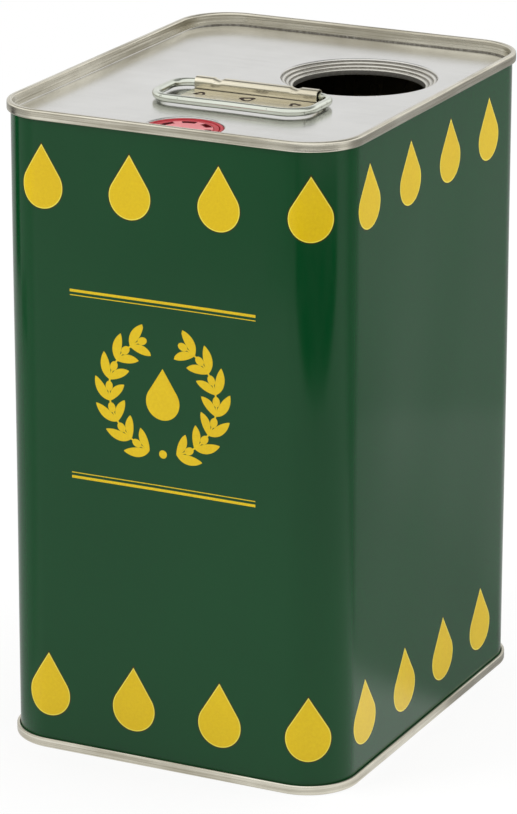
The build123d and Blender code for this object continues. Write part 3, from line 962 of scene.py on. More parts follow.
@dataclass(frozen=True)
class TinSizes:
    """The sizes, in mm, that the pieces share with the solids."""

    width: float = 114.0
    depth: float = 142.0
    height: float = 204.0
    corner: float = 16.0
    body_sheet: float = 0.28
    end_sheet: float = 0.32
    seam_length: float = 3.1
    seam_gap: float = 0.08
    countersink: float = 4.0
    panel_margin: float = 1.4
    per_corner: int = 24
    spacing: float = 3.0

    @property
    def panel_top(self) -> float:
        """Height of the lid's panel."""
        return self.height - self.countersink

    @property
    def outline(self) -> RoundedOutline:
        """The body's outer outline."""
        return RoundedOutline(self.width, self.depth, self.corner)

    @property
    def stations(self) -> np.ndarray:
        """Where both ends' seams are cut round the outline."""
        return self.outline.stations(self.per_corner, self.spacing)


@dataclass(frozen=True)
class SpoutSizes:
    """Sizes and heights, in mm, that the spout's pieces share."""

    centre: tuple[float, float] = (0.0, -56.6)
    seat_bore: float = 11.0
    seat_ledge: float = 197.0
    collar_radius: float = 12.14
    collar_top: float = 199.65
    collar_bore: float = 9.94
    recess: float = 197.96
    snap_top: float = 193.38
    collar_foot: float = 192.48
    cone_fold: float = 180.98
    cone_wall: float = 0.55
    cone_taper: float = 0.35
    nozzle_bore: float = 5.6
    nozzle_radius: float = 6.6
    nozzle_top: float = 197.96
    cap_top: float = 199.55
    cap_radius: float = 10.74
    cap_underside: float = 198.21
    cap_shoulder: float = 198.70
    boss_radius: float = 9.1
    gap: float = 0.06


TIN, SPOUT = TinSizes(), SpoutSizes()


def densify(points: np.ndarray, longest: float) -> np.ndarray:
    """Adds points along an open polyline so that no stretch is longer than the given length."""
    out = [points[:1]]
    for a, b in zip(points[:-1], points[1:]):
        count = max(1, math.ceil(float(np.linalg.norm(b - a)) / longest))
        share = np.linspace(0.0, 1.0, count + 1)[1:, None]
        out.append(a + (b - a) * share)
    return np.vstack(out)


def round_loop(points: Sequence[tuple[float, float]], radii: Sequence[float], steps: int = 4) -> np.ndarray:
    """A closed ring of points with each corner rounded."""
    ring = np.array(points, float)
    start = (ring[0] + ring[-1]) / 2
    return round_corners(np.vstack([start[None], ring, start[None]]), radii, steps)[:-1]


@dataclass
class BodyShell:
    """The printed body: a wall with a hook at each end, slightly bowed panels, and a weld down the back."""

    tin: TinSizes = TIN
    hook_length: float = 1.9
    hook_radius: float = 0.24
    row_height: float = 3.0
    bow: float = 0.3
    ripple: float = 0.07
    ripples: tuple[tuple[float, ...], ...] = ((1.0, 5, 4.0, 0.6), (0.6, 9, -7.0, 2.0))
    columns_per_corner: int = 32
    column_spacing: float = 2.0
    weld_line: float = 0.01

    def wave(self, s: np.ndarray, z: np.ndarray) -> np.ndarray:
        """How far the wall stands off its nominal place.

        The middle of each flat bows in by bow * cos(pi u / flat)^2 * sin(pi t), where u is the distance from the
        flat's middle and t the share of the height. Over it run slow waves, each
        ripple * share * sin(count * turn + lean * t + start) * sin(pi t).

        Args:
            s: distances round the tin, in mm.
            z: heights, in mm.

        Returns:
            Distances outwards, in mm.
        """
        tin = self.tin
        outline = tin.outline
        flat_x, flat_y = tin.width - 2 * tin.corner, tin.depth - 2 * tin.corner
        half_round = outline.length / 2
        local = np.mod(s, half_round)
        middle_y = half_round / 2
        on_side = np.abs(local - middle_y) < flat_y / 2
        from_front = np.minimum(local, half_round - local)
        hollow_x = np.where(from_front < flat_x / 2, np.cos(math.pi * from_front / flat_x) ** 2, 0.0)
        hollow_y = np.where(on_side, np.cos(math.pi * (local - middle_y) / flat_y) ** 2, 0.0)
        t = np.clip((z - tin.seam_length) / (tin.height - 2 * tin.seam_length), 0.0, 1.0)
        ends = np.sin(math.pi * t)
        turn = TURN * s / outline.length
        slow = sum(share * np.sin(count * turn + lean * t + start) for share, count, lean, start in self.ripples)
        return -(hollow_x + hollow_y) * self.bow * ends + self.ripple * slow * ends

    def section(self) -> np.ndarray:
        """The sheet's section as a closed ring: distance outside the outline, and height."""
        tin = self.tin
        hook_x = 2 * tin.seam_gap + tin.end_sheet + tin.body_sheet / 2
        low = tin.end_sheet + tin.seam_gap + tin.body_sheet / 2
        high = tin.height - low
        wall = -tin.body_sheet / 2
        places = [(hook_x, low + self.hook_length), (hook_x, low), (wall, low),
                  (wall, high), (hook_x, high), (hook_x, high - self.hook_length)]
        left, right = sheet_sides(places, [self.hook_radius] * 4, tin.body_sheet, steps=3)
        return np.vstack([densify(left, self.row_height), densify(right[::-1], self.row_height)])

    def build(self) -> bpy.types.Object:
        """Makes the shell, with a UV map print that holds the distance round the tin and the height, in metres."""
        tin = self.tin
        outline = tin.outline
        stations = np.append(outline.stations(self.columns_per_corner, self.column_spacing), outline.length)
        stations = stations + outline.length / 2
        section = self.section()
        place, normal = outline.at(stations)
        s_grid = np.broadcast_to(stations[None], (len(section), len(stations)))
        z_grid = np.broadcast_to(section[:, 1:], s_grid.shape)
        on_wall = (np.abs(section[:, :1]) < 2 * tin.body_sheet).astype(float)
        out = section[:, :1] + self.wave(s_grid, z_grid) * on_wall
        xy = place[None] + normal[None] * out[..., None]
        points = np.concatenate([xy, z_grid[..., None]], axis=-1)
        inside = np.broadcast_to((section[:, :1] < -tin.body_sheet / 2).astype(float), s_grid.shape)
        piece = Surface.grid(points, close_rows=True, inside=inside).to_object("printed_body", merge=0.001)
        self.add_print_map(piece)
        return piece

    def add_print_map(self, piece: bpy.types.Object) -> None:
        """Writes the UV map print, corner by corner, with U from -half to +half of the way round.

        Each corner's distance round the tin is worked out from its own place: on a flat it is the place along the
        flat, and on an arc it is the angle times the radius. U has the sign of X, and on the weld's middle line
        the sign of its face's middle.
        """
        tin, mesh = self.tin, piece.data
        place = read_all(mesh.vertices, "co", float, 3).reshape(-1, 3) / MM
        corner = place[read_all(mesh.loops, "vertex_index", np.int32)]
        half_x, half_y, r = tin.width / 2 - tin.corner, tin.depth / 2 - tin.corner, tin.corner
        x, y = np.abs(corner[:, 0]), corner[:, 1]
        over_x, over_y = np.maximum(x - half_x, 0.0), np.maximum(np.abs(y) - half_y, 0.0)
        angle = np.arctan2(over_x, over_y)
        arc = r * TURN / 4
        front = np.minimum(x, half_x) + r * angle
        behind = half_x + arc + 2 * half_y + r * (TURN / 4 - angle) + half_x - np.minimum(x, half_x)
        side = half_x + arc + y + half_y
        way = np.where((over_x > 0) & (np.abs(y) <= half_y), side, np.where(y < 0, front, behind))
        starts, totals = (read_all(mesh.polygons, name, np.int32) for name in ("loop_start", "loop_total"))
        middle = np.repeat(np.add.reduceat(corner[:, 0], starts) / totals, totals)
        own_side = np.where(x > self.weld_line, corner[:, 0], middle)
        sign = np.where(own_side < 0, -1.0, 1.0)
        uv = np.stack([sign * way * MM, corner[:, 2] * MM], axis=-1)
        layer = mesh.uv_layers.new(name="print")
        layer.data.foreach_set("uv", uv.astype(np.float32).reshape(-1))


@dataclass(frozen=True)
class Seam:
    """The lid's or the base's rim: its half of the double seam, down to the panel's edge.

    Painted shade lies in the crease along the rim's foot: it reaches up to shade_top above the panel and fades over
    shade_fade. It has the strength grime at the back, and the share shade_least of that in front. It grows
    between those two as the outline's normal turns, where the normal's Y lies in shade_turn.
    """

    tin: TinSizes = TIN
    taper: float = 0.2
    hook_length: float = 1.75
    bends: tuple[float, ...] = (0.5, 0.55, 0.55, 0.3, 0.3)
    longest: float = 0.4
    worked_rise: float = 0.3
    grime: float = 0.9
    shade_top: float = 0.6
    shade_fade: float = 0.35
    shade_least: float = 0.15
    shade_turn: tuple[float, float] = (0.2, 0.7)
    shade_edge: float = 0.02

    def section(self) -> np.ndarray:
        """The sheet as an open run of points, from the panel's upper face over the seam and back to its lower face.

        The heights are above the seam's crest, so they are mostly negative.
        """
        tin = self.tin
        wall = 3 * tin.seam_gap + tin.end_sheet + tin.body_sheet + tin.end_sheet / 2
        hook = tin.seam_gap + tin.end_sheet / 2
        chuck = -tin.body_sheet - tin.seam_gap - tin.end_sheet / 2
        panel, crest = -tin.countersink - tin.end_sheet / 2, -tin.end_sheet / 2
        hem = -tin.seam_length + tin.end_sheet / 2
        places = [(-tin.panel_margin, panel), (chuck - self.taper, panel), (chuck, crest), (wall, crest),
                  (wall, hem), (hook, hem), (hook, hem + self.hook_length)]
        left, right = sheet_sides(places, self.bends, tin.end_sheet, steps=8)
        return np.vstack([left, right[::-1]])

    def sweep(self, upright: float) -> Surface:
        """The rim round the tin, open at the panel. Its value worked rises from 0 on the panel to 1 on the rim.

        Args:
            upright: 1 for the lid's rim, -1 for the base's.

        Returns:
            The surface, with the values worked, across and grime, the painted shade in the crease along its foot.
        """
        tin = self.tin
        run = densify(self.section(), self.longest)
        rise = run[:, 1] + tin.countersink
        worked = np.clip(rise / self.worked_rise, 0.0, 1.0)
        # Painted shade in the crease at the rim's foot, kept off the panel's edge and strongest at the back.
        low = np.clip((self.shade_top - rise) / self.shade_fade, 0.0, 1.0)
        grime = self.grime * low * (run[:, 0] > self.shade_edge - tin.panel_margin)
        section = run * np.array([1.0, upright]) + np.array([0.0, max(0.0, upright) * tin.height])
        swept = tin.outline.sweep(section, tin.stations, closed=False)
        _, normal = tin.outline.at(tin.stations)
        start, end = self.shade_turn
        backwards = np.clip((normal[:, 1] - start) / (end - start), 0.0, 1.0)
        behind = self.shade_least + (1.0 - self.shade_least) * backwards
        swept.values["grime"] = np.outer(grime, behind).reshape(-1)
        return swept.with_rows(len(tin.stations), worked=worked, across=way_along(run))


@dataclass(frozen=True)
class DrawnHole:
    """A round hole drawn down into the lid in steps, with a short neck at the bottom.

    The sheet is worked by worked_share from worked_margin outside the rim inwards. Painted shade lies in the hollow
    bends, and down the walls it begins at the height shade_from below the panel and is full shade_fade lower.
    """

    centre: tuple[float, float]
    bore: float
    steps: int
    step_width: float
    step_drop: float
    neck: float
    flare: float
    worked_margin: float
    shade_from: float
    shade_fade: float
    grime: float
    columns: int
    bend: float = 0.36
    worked_share: float = 0.5
    worked_fade: float = 0.4
    hollow_shade: float = 0.8
    least_turn: float = 1e-4

    def rim(self, tin: TinSizes) -> float:
        """The outermost bend's radius, at the sheet's middle line."""
        return self.bore + tin.end_sheet / 2 + self.steps * self.step_width

    def places(self, tin: TinSizes) -> list[tuple[float, float]]:
        """The sheet's corners as radius and height above the panel: the flat edge, down each step, and the neck."""
        rim, level = self.rim(tin), -tin.end_sheet / 2
        places = [(rim + self.flare, level), (rim, level)]
        for i in range(self.steps):
            level -= self.step_drop
            places += [(rim - i * self.step_width, level), (rim - (i + 1) * self.step_width, level)]
        return places + [(self.bore + tin.end_sheet / 2, level - self.neck)]

    def surface(self, tin: TinSizes) -> Surface:
        """The sheet round the hole, open at its blank's edge, where the panel's faces join it."""
        places = self.places(tin)
        left, right = sheet_sides(places, [self.bend] * (len(places) - 2), tin.end_sheet)
        run = np.vstack([left, right[::-1]])
        inwards = self.rim(tin) + self.worked_margin - run[:, 0]
        worked = self.worked_share * np.clip(inwards / self.worked_fade, 0.0, 1.0)
        # Painted shade: darker down into the hole and in its hollow bends.
        grime = self.grime * np.clip((-self.shade_from - run[:, 1]) / self.shade_fade, 0.0, 1.0)
        turn = np.diff(run, axis=0, prepend=run[:1], append=run[-1:])
        hollow = turn[:-1, 0] * turn[1:, 1] - turn[:-1, 1] * turn[1:, 0] > self.least_turn
        grime = np.maximum(grime, self.hollow_shade * hollow * (np.arange(len(run)) >= len(left)))
        lifted = run + np.array([0.0, tin.panel_top])
        sheet = revolve(lifted, self.centre, self.columns, closed=False)
        return sheet.with_rows(self.columns, worked=worked, across=way_along(run), grime=grime)

    def edge(self, tin: TinSizes) -> np.ndarray:
        """The blank's edge in plan."""
        return turned(self.centre, self.rim(tin) + self.flare, 0.0, angles(self.columns))[:, :2]


@dataclass
class Lid:
    """The lid, one drawn sheet: seam, flat panel, mouth and seat."""

    tin: TinSizes = TIN
    mouth: DrawnHole = DrawnHole(
        (20.4, 23.2), bore=20.5, steps=3, step_width=1.25, step_drop=0.8, neck=1.7, flare=1.0,
        worked_margin=0.1, shade_from=2.5, shade_fade=0.8, grime=0.8, columns=160,
    )
    seat: DrawnHole = DrawnHole(
        SPOUT.centre, bore=SPOUT.seat_bore, steps=1, step_width=1.2, step_drop=3.0, neck=3.4, flare=0.4,
        worked_margin=0.0, shade_from=0.1, shade_fade=0.4, grime=0.7, columns=120,
    )

    def build(self) -> bpy.types.Object:
        """Makes the lid as one closed mesh."""
        tin = self.tin
        place, normal = tin.outline.at(tin.stations)
        border = place - normal * tin.panel_margin
        holes = [self.mouth, self.seat]
        surface = Seam(tin).sweep(1.0)
        for level in (tin.panel_top, tin.panel_top - tin.end_sheet):
            surface = surface + fill_flat([border, *[h.edge(tin) for h in holes]], level)
        for hole in holes:
            surface = surface + hole.surface(tin)
        return surface.to_object("bare_lid", merge=0.002)


@dataclass
class Base:
    """The base: the same seam upside down, and a panel with one raised step."""

    tin: TinSizes = TIN
    step_inset: float = 13.0
    step_rise: float = 1.2
    step_slope: float = 1.4
    bend: float = 0.5
    slope_rows: int = 8

    def step_rows(self) -> list[tuple[float, float]]:
        """The step's section: inset from the outline, and height above the panel's lower face, in a smooth rise."""
        share = np.linspace(0.0, 1.0, self.slope_rows + 1)
        rise = smooth_step(share, 0.5, 1.0)
        low = self.step_inset - self.step_slope
        rows = [(low - self.bend, 0.0)]
        rows += list(zip((low + self.step_slope * share).tolist(), (self.step_rise * rise).tolist()))
        return rows + [(self.step_inset + self.bend, self.step_rise)]

    def panel(self, level: float) -> Surface:
        """One face of the panel: flat to the step, up the step, and flat across the middle."""
        tin = self.tin
        place, normal = tin.outline.at(tin.stations)
        border = place - normal * tin.panel_margin
        rings = []
        for inset, height in self.step_rows():
            radius = tin.corner - max(0.0, inset - self.step_inset + self.step_slope)
            outline = RoundedOutline(tin.width - 2 * inset, tin.depth - 2 * inset, radius)
            ring, _ = outline.at(outline.stations_like(tin.outline, tin.stations))
            rings.append(np.column_stack([ring, np.full(len(ring), level + height)]))
        rise = Surface.grid(np.stack(rings), close_columns=True)
        middle = fill_flat([rings[-1][:, :2]], level + self.step_rise)
        return fill_flat([border, rings[0][:, :2]], level) + rise + middle

    def build(self) -> bpy.types.Object:
        """Makes the base as one closed mesh."""
        tin = self.tin
        faces = self.panel(tin.countersink) + self.panel(tin.countersink + tin.end_sheet)
        return (Seam(tin).sweep(-1.0) + faces).to_object("bare_base", merge=0.002)


@dataclass
class HandleBracket:
    """The clip that holds the wire: a flange with spot welds, rolled over the wire, with two crimps in its roof."""

    tin: TinSizes = TIN
    middle_x: float = 2.65
    length: float = 41.2
    sheet: float = 0.4
    wire_y: float = -11.75
    wire_radius: float = 1.3
    side_gap: float = 0.4
    top_gap: float = 0.45
    rest_gap: float = 0.1
    edge_gap: float = 0.15
    roll_radius: float = 1.5
    flange: float = 11.0
    crimp_inset: float = 7.6
    crimp_radius: float = 4.5
    crimp_thinning: float = 0.2
    welds: int = 3
    weld_inset: float = 4.6
    weld_radius: float = 1.5
    weld_dimple: float = 0.18
    dimple_reach: float = 1.15
    burn_radius: float = 0.85
    burn_width: float = 0.7
    burn_strength: float = 1.2
    burn_pull: float = 0.16
    middle_burn: float = 1.35
    foot_shade: float = 0.9
    longest: float = 0.3
    columns: int = 207

    @property
    def wire_level(self) -> float:
        """Height of the wire's axis."""
        return self.tin.panel_top + self.sheet + self.rest_gap + self.wire_radius

    @property
    def front(self) -> float:
        """Y of the roll's front wall, in the middle of the sheet."""
        return self.wire_y - self.wire_radius - self.side_gap - self.sheet / 2

    def section(self) -> np.ndarray:
        """The sheet's section as a closed ring of places in Y and Z, first inside the roll and then outside it."""
        back = self.wire_y + self.wire_radius + self.side_gap + self.sheet / 2
        roof = self.wire_level + self.wire_radius + self.top_gap + self.sheet / 2
        floor = self.tin.panel_top + self.sheet / 2
        places = [(self.front - self.flange, floor), (back, floor), (back, roof), (self.front, roof),
                  (self.front, self.tin.panel_top + self.sheet + self.edge_gap)]
        left, right = sheet_sides(places, [self.roll_radius] * 3, self.sheet, steps=8)
        return np.vstack([densify(left, self.longest), densify(right[::-1], self.longest)])

    def build(self) -> bpy.types.Object:
        """Makes the clip. The roof sinks by depth - dx^2 / (2 radius) at a crimp, and the flange dimples at a weld.
        Outside, a crimp is deeper by crimp_thinning, where the press has thinned the sheet.

        The value rust is a burnt ring about each weld, pulled out of round by burn_pull, and painted shade lies along
        the foot of the roll's front wall, where it meets the flange. The burn's sizes are shares of the weld's radius.
        """
        ring = self.section()
        x = self.middle_x + np.linspace(-self.length / 2, self.length / 2, self.columns)
        gx, gy = np.meshgrid(x, ring[:, 0], indexing="ij")
        gz = np.broadcast_to(ring[:, 1], gx.shape).copy()
        roof_share = np.clip((gz - self.wire_level) / (self.wire_radius + self.top_gap), 0.0, 1.0)
        depth = self.top_gap - self.rest_gap
        outer = np.arange(len(ring)) >= len(ring) // 2
        for side in (-1, 1):
            dx = gx - self.middle_x - side * (self.length / 2 - self.crimp_inset)
            dent = np.maximum(0.0, depth - dx**2 / (2 * self.crimp_radius))
            gz -= dent * roof_share * (1.0 + outer[None] * self.crimp_thinning / depth)

        rust = np.zeros_like(gz)
        weld_y = self.front - self.flange / 2
        pitch = (self.length - 2 * self.weld_inset) / (self.welds - 1)
        low = gz < self.tin.panel_top + self.sheet + self.edge_gap
        on_flange = low & (gz > self.tin.panel_top + self.sheet / 2)
        for i in range(self.welds):
            weld_x = self.middle_x - self.length / 2 + self.weld_inset + i * pitch
            bearing = np.arctan2(gy - weld_y, gx - weld_x)
            away = np.hypot(gx - weld_x, gy - weld_y) / self.weld_radius
            burn = away * (1.0 + self.burn_pull * np.sin(3 * bearing + 2 * i)) / (self.middle_burn if i == 1 else 1.0)
            gz -= np.where(on_flange, self.weld_dimple * np.clip(self.dimple_reach - away**2, 0.0, 1.0), 0.0)
            ring_burn = np.clip(self.burn_strength - np.abs(burn - self.burn_radius) / self.burn_width, 0.0, 1.0)
            rust = np.maximum(rust, ring_burn * on_flange)
        # Painted shade along the foot of the roll's front wall.
        foot = np.clip(1.0 - np.abs(gy - self.front + self.sheet) / self.foot_shade, 0.0, 1.0) * low
        surface = Surface.grid(
            np.stack([gx, gy, gz], axis=-1), close_columns=True, cap_rows=True, rust=rust, grime=foot,
            across=np.broadcast_to(way_along(ring), gz.shape), worked=np.ones_like(gz),
        )
        return surface.to_object("handle_clip", smooth_angle=40.0)


@dataclass
class HandleWire:
    """The wire loop, with its ends butted inside the bracket."""

    bracket: HandleBracket = field(default_factory=HandleBracket)
    middle_x: float = 2.2
    length: float = 52.6
    reach: float = 21.9
    front_corner: float = 8.0
    back_corner: float = 6.0
    end_gap: float = 0.8
    around: int = 28
    wobble: float = 0.12
    wobble_length: float = 31.0
    wobble_start: float = 0.7
    wobble_fade: float = 6.0
    end_trim: float = 0.8
    corner_steps: int = 14
    longest: float = 0.8

    def route(self) -> np.ndarray:
        """The wire's middle line in plan."""
        half, near, far = self.length / 2, self.bracket.wire_y, self.bracket.wire_y - self.reach
        places = np.array([
            (self.end_gap / 2, near), (half, near), (half, far), (-half, far), (-half, near), (-self.end_gap / 2, near),
        ])
        places[:, 0] += self.middle_x
        back, front = self.back_corner, self.front_corner
        line = round_corners(places, [back, front, front, back], self.corner_steps)
        return densify(line, self.longest)

    def build(self) -> bpy.types.Object:
        """Makes the tube round the middle line, which waves by wobble * sin(TURN * way / length) where it is free."""
        line = self.route()
        run = np.gradient(line, axis=0)
        run /= np.linalg.norm(run, axis=1, keepdims=True)
        side = np.stack([run[:, 1], -run[:, 0]], axis=-1)
        along = way_along(line) / MM
        free = np.clip((self.bracket.wire_y - line[:, 1]) / self.wobble_fade, 0.0, 1.0)
        bent = self.wobble * np.sin(TURN * along / self.wobble_length + self.wobble_start) * free
        line = line + side * bent[:, None]
        turn = angles(self.around)
        trim = np.ones(len(line))
        trim[[0, -1]] = self.end_trim
        radius = self.bracket.wire_radius * trim[:, None]
        out, up = radius * np.cos(turn)[None], radius * np.sin(turn)[None]
        xy = line[:, None] + side[:, None] * out[..., None]
        points = np.concatenate([xy, (self.bracket.wire_level + up)[..., None]], axis=-1)
        return Surface.grid(points, close_columns=True, cap_rows=True).to_object("carry_wire")


@dataclass
class Collar:
    """The fixed red ring in the lid's seat."""

    sizes: SpoutSizes = SPOUT
    rim_width: float = 1.15
    edge: float = 0.35
    under_edge: float = 0.4
    fillet: float = 0.12
    blunt: float = 0.1
    snap_proud: float = 0.45
    around: int = 144

    def build(self) -> bpy.types.Object:
        """Makes the ring by turning its section about the spout's axis."""
        z = self.sizes
        sleeve, under = z.seat_bore - z.gap, z.seat_ledge + z.gap
        inner = z.collar_radius - self.rim_width
        places = [(z.collar_bore, z.recess), (inner, z.recess), (inner, z.collar_top), (z.collar_radius, z.collar_top),
                  (z.collar_radius, under), (sleeve, under), (sleeve, z.snap_top),
                  (sleeve + self.snap_proud, z.snap_top), (sleeve, z.collar_foot), (z.collar_bore, z.collar_foot)]
        radii = [self.blunt, self.fillet, self.edge, self.edge, self.under_edge, self.fillet] + [self.blunt] * 4
        return revolve(round_loop(places, radii), z.centre, self.around).to_object("red_collar", merge=0.001)


@dataclass
class Cone:
    """The thin wall that turns inside out as the spout is pulled."""

    sizes: SpoutSizes = SPOUT
    rows: int = 48
    around: int = 128

    def build(self) -> bpy.types.Object:
        """Makes the wall as a turned sleeve with even rows."""
        z = self.sizes
        t = np.linspace(0.0, 1.0, self.rows)
        height = z.collar_foot + (z.cone_fold - z.collar_foot) * t
        inner = z.collar_bore - z.cone_taper * t
        outer = inner + z.cone_wall
        profile = np.vstack([np.stack([outer, height], axis=-1), np.stack([inner, height], axis=-1)[::-1]])
        return revolve(profile, z.centre, self.around).to_object("milky_cone")


@dataclass
class Nozzle:
    """The pouring tube with a screw thread outside its top."""

    sizes: SpoutSizes = SPOUT
    foot_height: float = 0.9
    thread_pitch: float = 2.4
    thread_proud: float = 0.35
    thread_width: float = 1.1
    threaded: float = 5.4
    thread_drop: float = 0.5
    thread_fade: float = 0.8
    lip: float = 0.2
    foot_edge: float = 0.15
    row: float = 0.16
    row_margin: float = 0.3
    around: int = 160

    def build(self) -> bpy.types.Object:
        """Makes the tube. The thread stands proud by a raised cosine of the height above a helix of one start."""
        z = self.sizes
        foot, foot_top = z.collar_bore - z.cone_taper - z.gap, z.cone_fold + self.foot_height
        lip, edge, outside = self.lip, self.foot_edge, z.nozzle_radius
        wall = np.arange(foot_top + self.row_margin, z.nozzle_top - self.row_margin, self.row)
        profile = np.array([
            (z.nozzle_bore, z.nozzle_top - lip), (z.nozzle_bore, z.cone_fold), (foot - edge, z.cone_fold),
            (foot, z.cone_fold + edge), (foot, foot_top - edge), (foot - edge, foot_top), (outside, foot_top),
            *[(outside, h) for h in wall.tolist()],
            (outside, z.nozzle_top - lip), (outside - lip, z.nozzle_top), (z.nozzle_bore + lip, z.nozzle_top),
        ])
        angle = angles(self.around)[None]
        radius, height = profile[:, :1], profile[:, 1:]
        start = z.nozzle_top - self.thread_drop - self.threaded
        turns = (height - start) / self.thread_pitch - angle / TURN
        off = np.abs(turns - np.round(turns)) * self.thread_pitch
        ridge = np.where(off < self.thread_width / 2, 0.5 + 0.5 * np.cos(TURN * off / self.thread_width), 0.0)
        starting = np.clip((height - start) / self.thread_fade, 0.0, 1.0)
        ending = np.clip((start + self.threaded - height) / self.thread_fade, 0.0, 1.0)
        on_wall = (np.abs(radius - outside) < 1e-6) * (height > foot_top)
        radius = radius + self.thread_proud * ridge * (starting * ending) * on_wall
        points = turned(z.centre, radius, height, angle)
        return Surface.grid(points, close_rows=True, close_columns=True).to_object("milky_nozzle")


@dataclass
class Cap:
    """The red screw cap: a boss with arc slots, a shoulder for the pull handles, and a skirt.

    slot_walls holds the shift and the width of a slot's inner, outer and end walls, and recess_shade_walls the same
    for the painted shade, a darker colour, in and round it.
    """

    sizes: SpoutSizes = SPOUT
    edge: float = 0.2
    rim_edge: float = 0.12
    fillet: float = 0.05
    slots: int = 7
    slot_depth: float = 0.7
    slot_width: float = 1.8
    slot_inset: float = 0.45
    slot_angle: float = 30.0
    dimple: float = 1.1
    dimple_wall: float = 0.2
    dimple_share: float = 0.5
    slot_walls: tuple[tuple[float, float], ...] = ((0.0, 0.2), (-0.07, 0.14), (0.0, 0.25))
    recess_shade_walls: tuple[tuple[float, float], ...] = ((-0.25, 0.3), (0.05, 0.14), (0.15, 0.3))
    recess_shade_strength: float = 1.6
    sheen_fade: float = 0.3
    skirt_bore: float = 7.2
    skirt_wall: float = 1.2
    skirt_depth: float = 6.4
    post_half_width: float = 0.25
    post_edges: tuple[float, ...] = (0.08, 0.08, 0.14, 0.14)
    post_sunk: float = 0.1
    post_lap: float = 0.3
    post_short: float = 0.05
    chamfer: float = 0.1
    around: int = 504

    def posts(self) -> Surface:
        """The two posts that the pull handles hang on: rounded oblongs from the boss out to the cap's edge.

        They reach into the boss by post_lap and into the shoulder by post_sunk.
        """
        z = self.sizes
        half, low, high = self.post_half_width, z.cap_shoulder - self.post_sunk, z.cap_top
        ring = round_loop([(-half, low), (half, low), (half, high), (-half, high)], self.post_edges, steps=3)
        both = []
        for side in (-1, 1):
            x = z.centre[0] + side * np.array([z.boss_radius - self.post_lap, z.cap_radius - self.post_short])
            gx, gy = np.meshgrid(x, z.centre[1] + ring[:, 0], indexing="ij")
            both.append(Surface.grid(np.stack([gx, gy, np.broadcast_to(ring[:, 1], gx.shape)], axis=-1),
                                     close_columns=True, cap_rows=True))
        return both[0] + both[1]

    def top_radii(self, slot_in: float, slot_out: float) -> np.ndarray:
        """Radii at which the top is cut, close together where the dimple and the slots begin and end."""
        stops = [
            (0.0, self.dimple - 0.2, 3), (self.dimple - 0.12, self.dimple + 0.12, 5),
            (self.dimple + 0.5, slot_in - 0.35, 16), (slot_in - 0.12, slot_in + 0.12, 6),
            (slot_in + 0.3, slot_out - 0.3, 3), (slot_out - 0.14, slot_out + 0.02, 6),
            (slot_out + 0.08, self.sizes.boss_radius - self.edge, 2),
        ]
        return np.concatenate([np.linspace(*stop) for stop in stops])

    def profile(self, top_radii: np.ndarray) -> np.ndarray:
        """The section as radius and height: from the top's middle over the shoulder, and inside the skirt back."""
        z = self.sizes
        skirt_foot, skirt, bore = z.cap_top - self.skirt_depth, self.skirt_bore + self.skirt_wall, self.skirt_bore
        boss, rim, shoulder, under = z.boss_radius, z.cap_radius, z.cap_shoulder, z.cap_underside
        c, e, f = self.chamfer, self.rim_edge, self.fillet
        return np.array([
            *[(r, z.cap_top) for r in top_radii.tolist()],
            (boss - 0.12, z.cap_top - 0.02), (boss - 0.03, z.cap_top - c), (boss, z.cap_top - self.edge),
            (boss, shoulder + f), (boss + f, shoulder), (rim - e, shoulder), (rim, shoulder - e),
            (rim, under + c), (rim - c, under), (skirt, under), (skirt, skirt_foot + c), (skirt - c, skirt_foot),
            (bore + c, skirt_foot), (bore, skirt_foot + c), (bore, under - c), (bore - c, under), (0.0, under),
        ])

    @staticmethod
    def in_slots(reach: Sequence[np.ndarray], edges: Sequence[float], walls: Sequence[tuple]) -> np.ndarray:
        """1 in the slots and 0 outside: the product of a smooth step at the inner, the outer and the end walls.

        Args:
            reach: each place's radius, its radius again, and its way along the arc from the nearest slot's middle.
            edges: where the inner, the outer and the end wall stand.
            walls: each wall's shift outwards and its width.

        Returns:
            The mask over the cap's grid.
        """
        inner, outer, end = (
            smooth_step(at, edge + shift, width) for at, edge, (shift, width) in zip(reach, edges, walls)
        )
        return inner * (1 - outer) * (1 - end)

    def build(self) -> bpy.types.Object:
        """Makes the cap on a grid of radius by angle, whose top sinks in the slots and in the middle's dimple.

        The value bloom, a painted sheen, is 1 on the flat top, and deep, painted shade, is 1 in and round the slots
        and the dimple, where the sheen is left out.
        """
        z = self.sizes
        slot_out = z.boss_radius - self.slot_inset
        slot_in = slot_out - self.slot_width
        top_radii = self.top_radii(slot_in, slot_out)
        profile = self.profile(top_radii)
        angle = angles(self.around)[None]
        radius, height = profile[:, :1], profile[:, 1:]

        sector = TURN / self.slots
        middle = (slot_in + slot_out) / 2
        off = np.abs(np.mod(angle + sector / 2, sector) - sector / 2) * middle
        reach, edges = (radius, radius, off), (slot_in, slot_out, math.radians(self.slot_angle / 2) * middle)
        in_slot = self.in_slots(reach, edges, self.slot_walls)
        in_dimple = (1 - smooth_step(radius, self.dimple, self.dimple_wall)) * np.ones_like(angle)
        on_top = (np.arange(len(profile)) < len(top_radii))[:, None]
        drop = self.slot_depth * in_slot + self.dimple_share * self.slot_depth * in_dimple
        height = height - np.where(on_top, drop, 0.0)
        points = turned(z.centre, radius, height, angle)
        # Painted shade in and round the slots and the dimple.
        recess_shade = self.recess_shade_strength * np.maximum(self.in_slots(reach, edges, self.recess_shade_walls), in_dimple)
        deep = np.where(on_top, np.clip(recess_shade, 0.0, 1.0), 0.0)
        # Painted sheen on the flat top, left out where the shade is.
        flat = 1.0 - smooth_step(radius, z.boss_radius - self.edge, self.sheen_fade)
        bloom = np.where(on_top, flat * (1.0 - deep), 0.0)
        surface = Surface.grid(points, close_columns=True, bloom=bloom, deep=deep) + self.posts()
        return surface.to_object("red_cap", merge=0.001, smooth_angle=50.0)


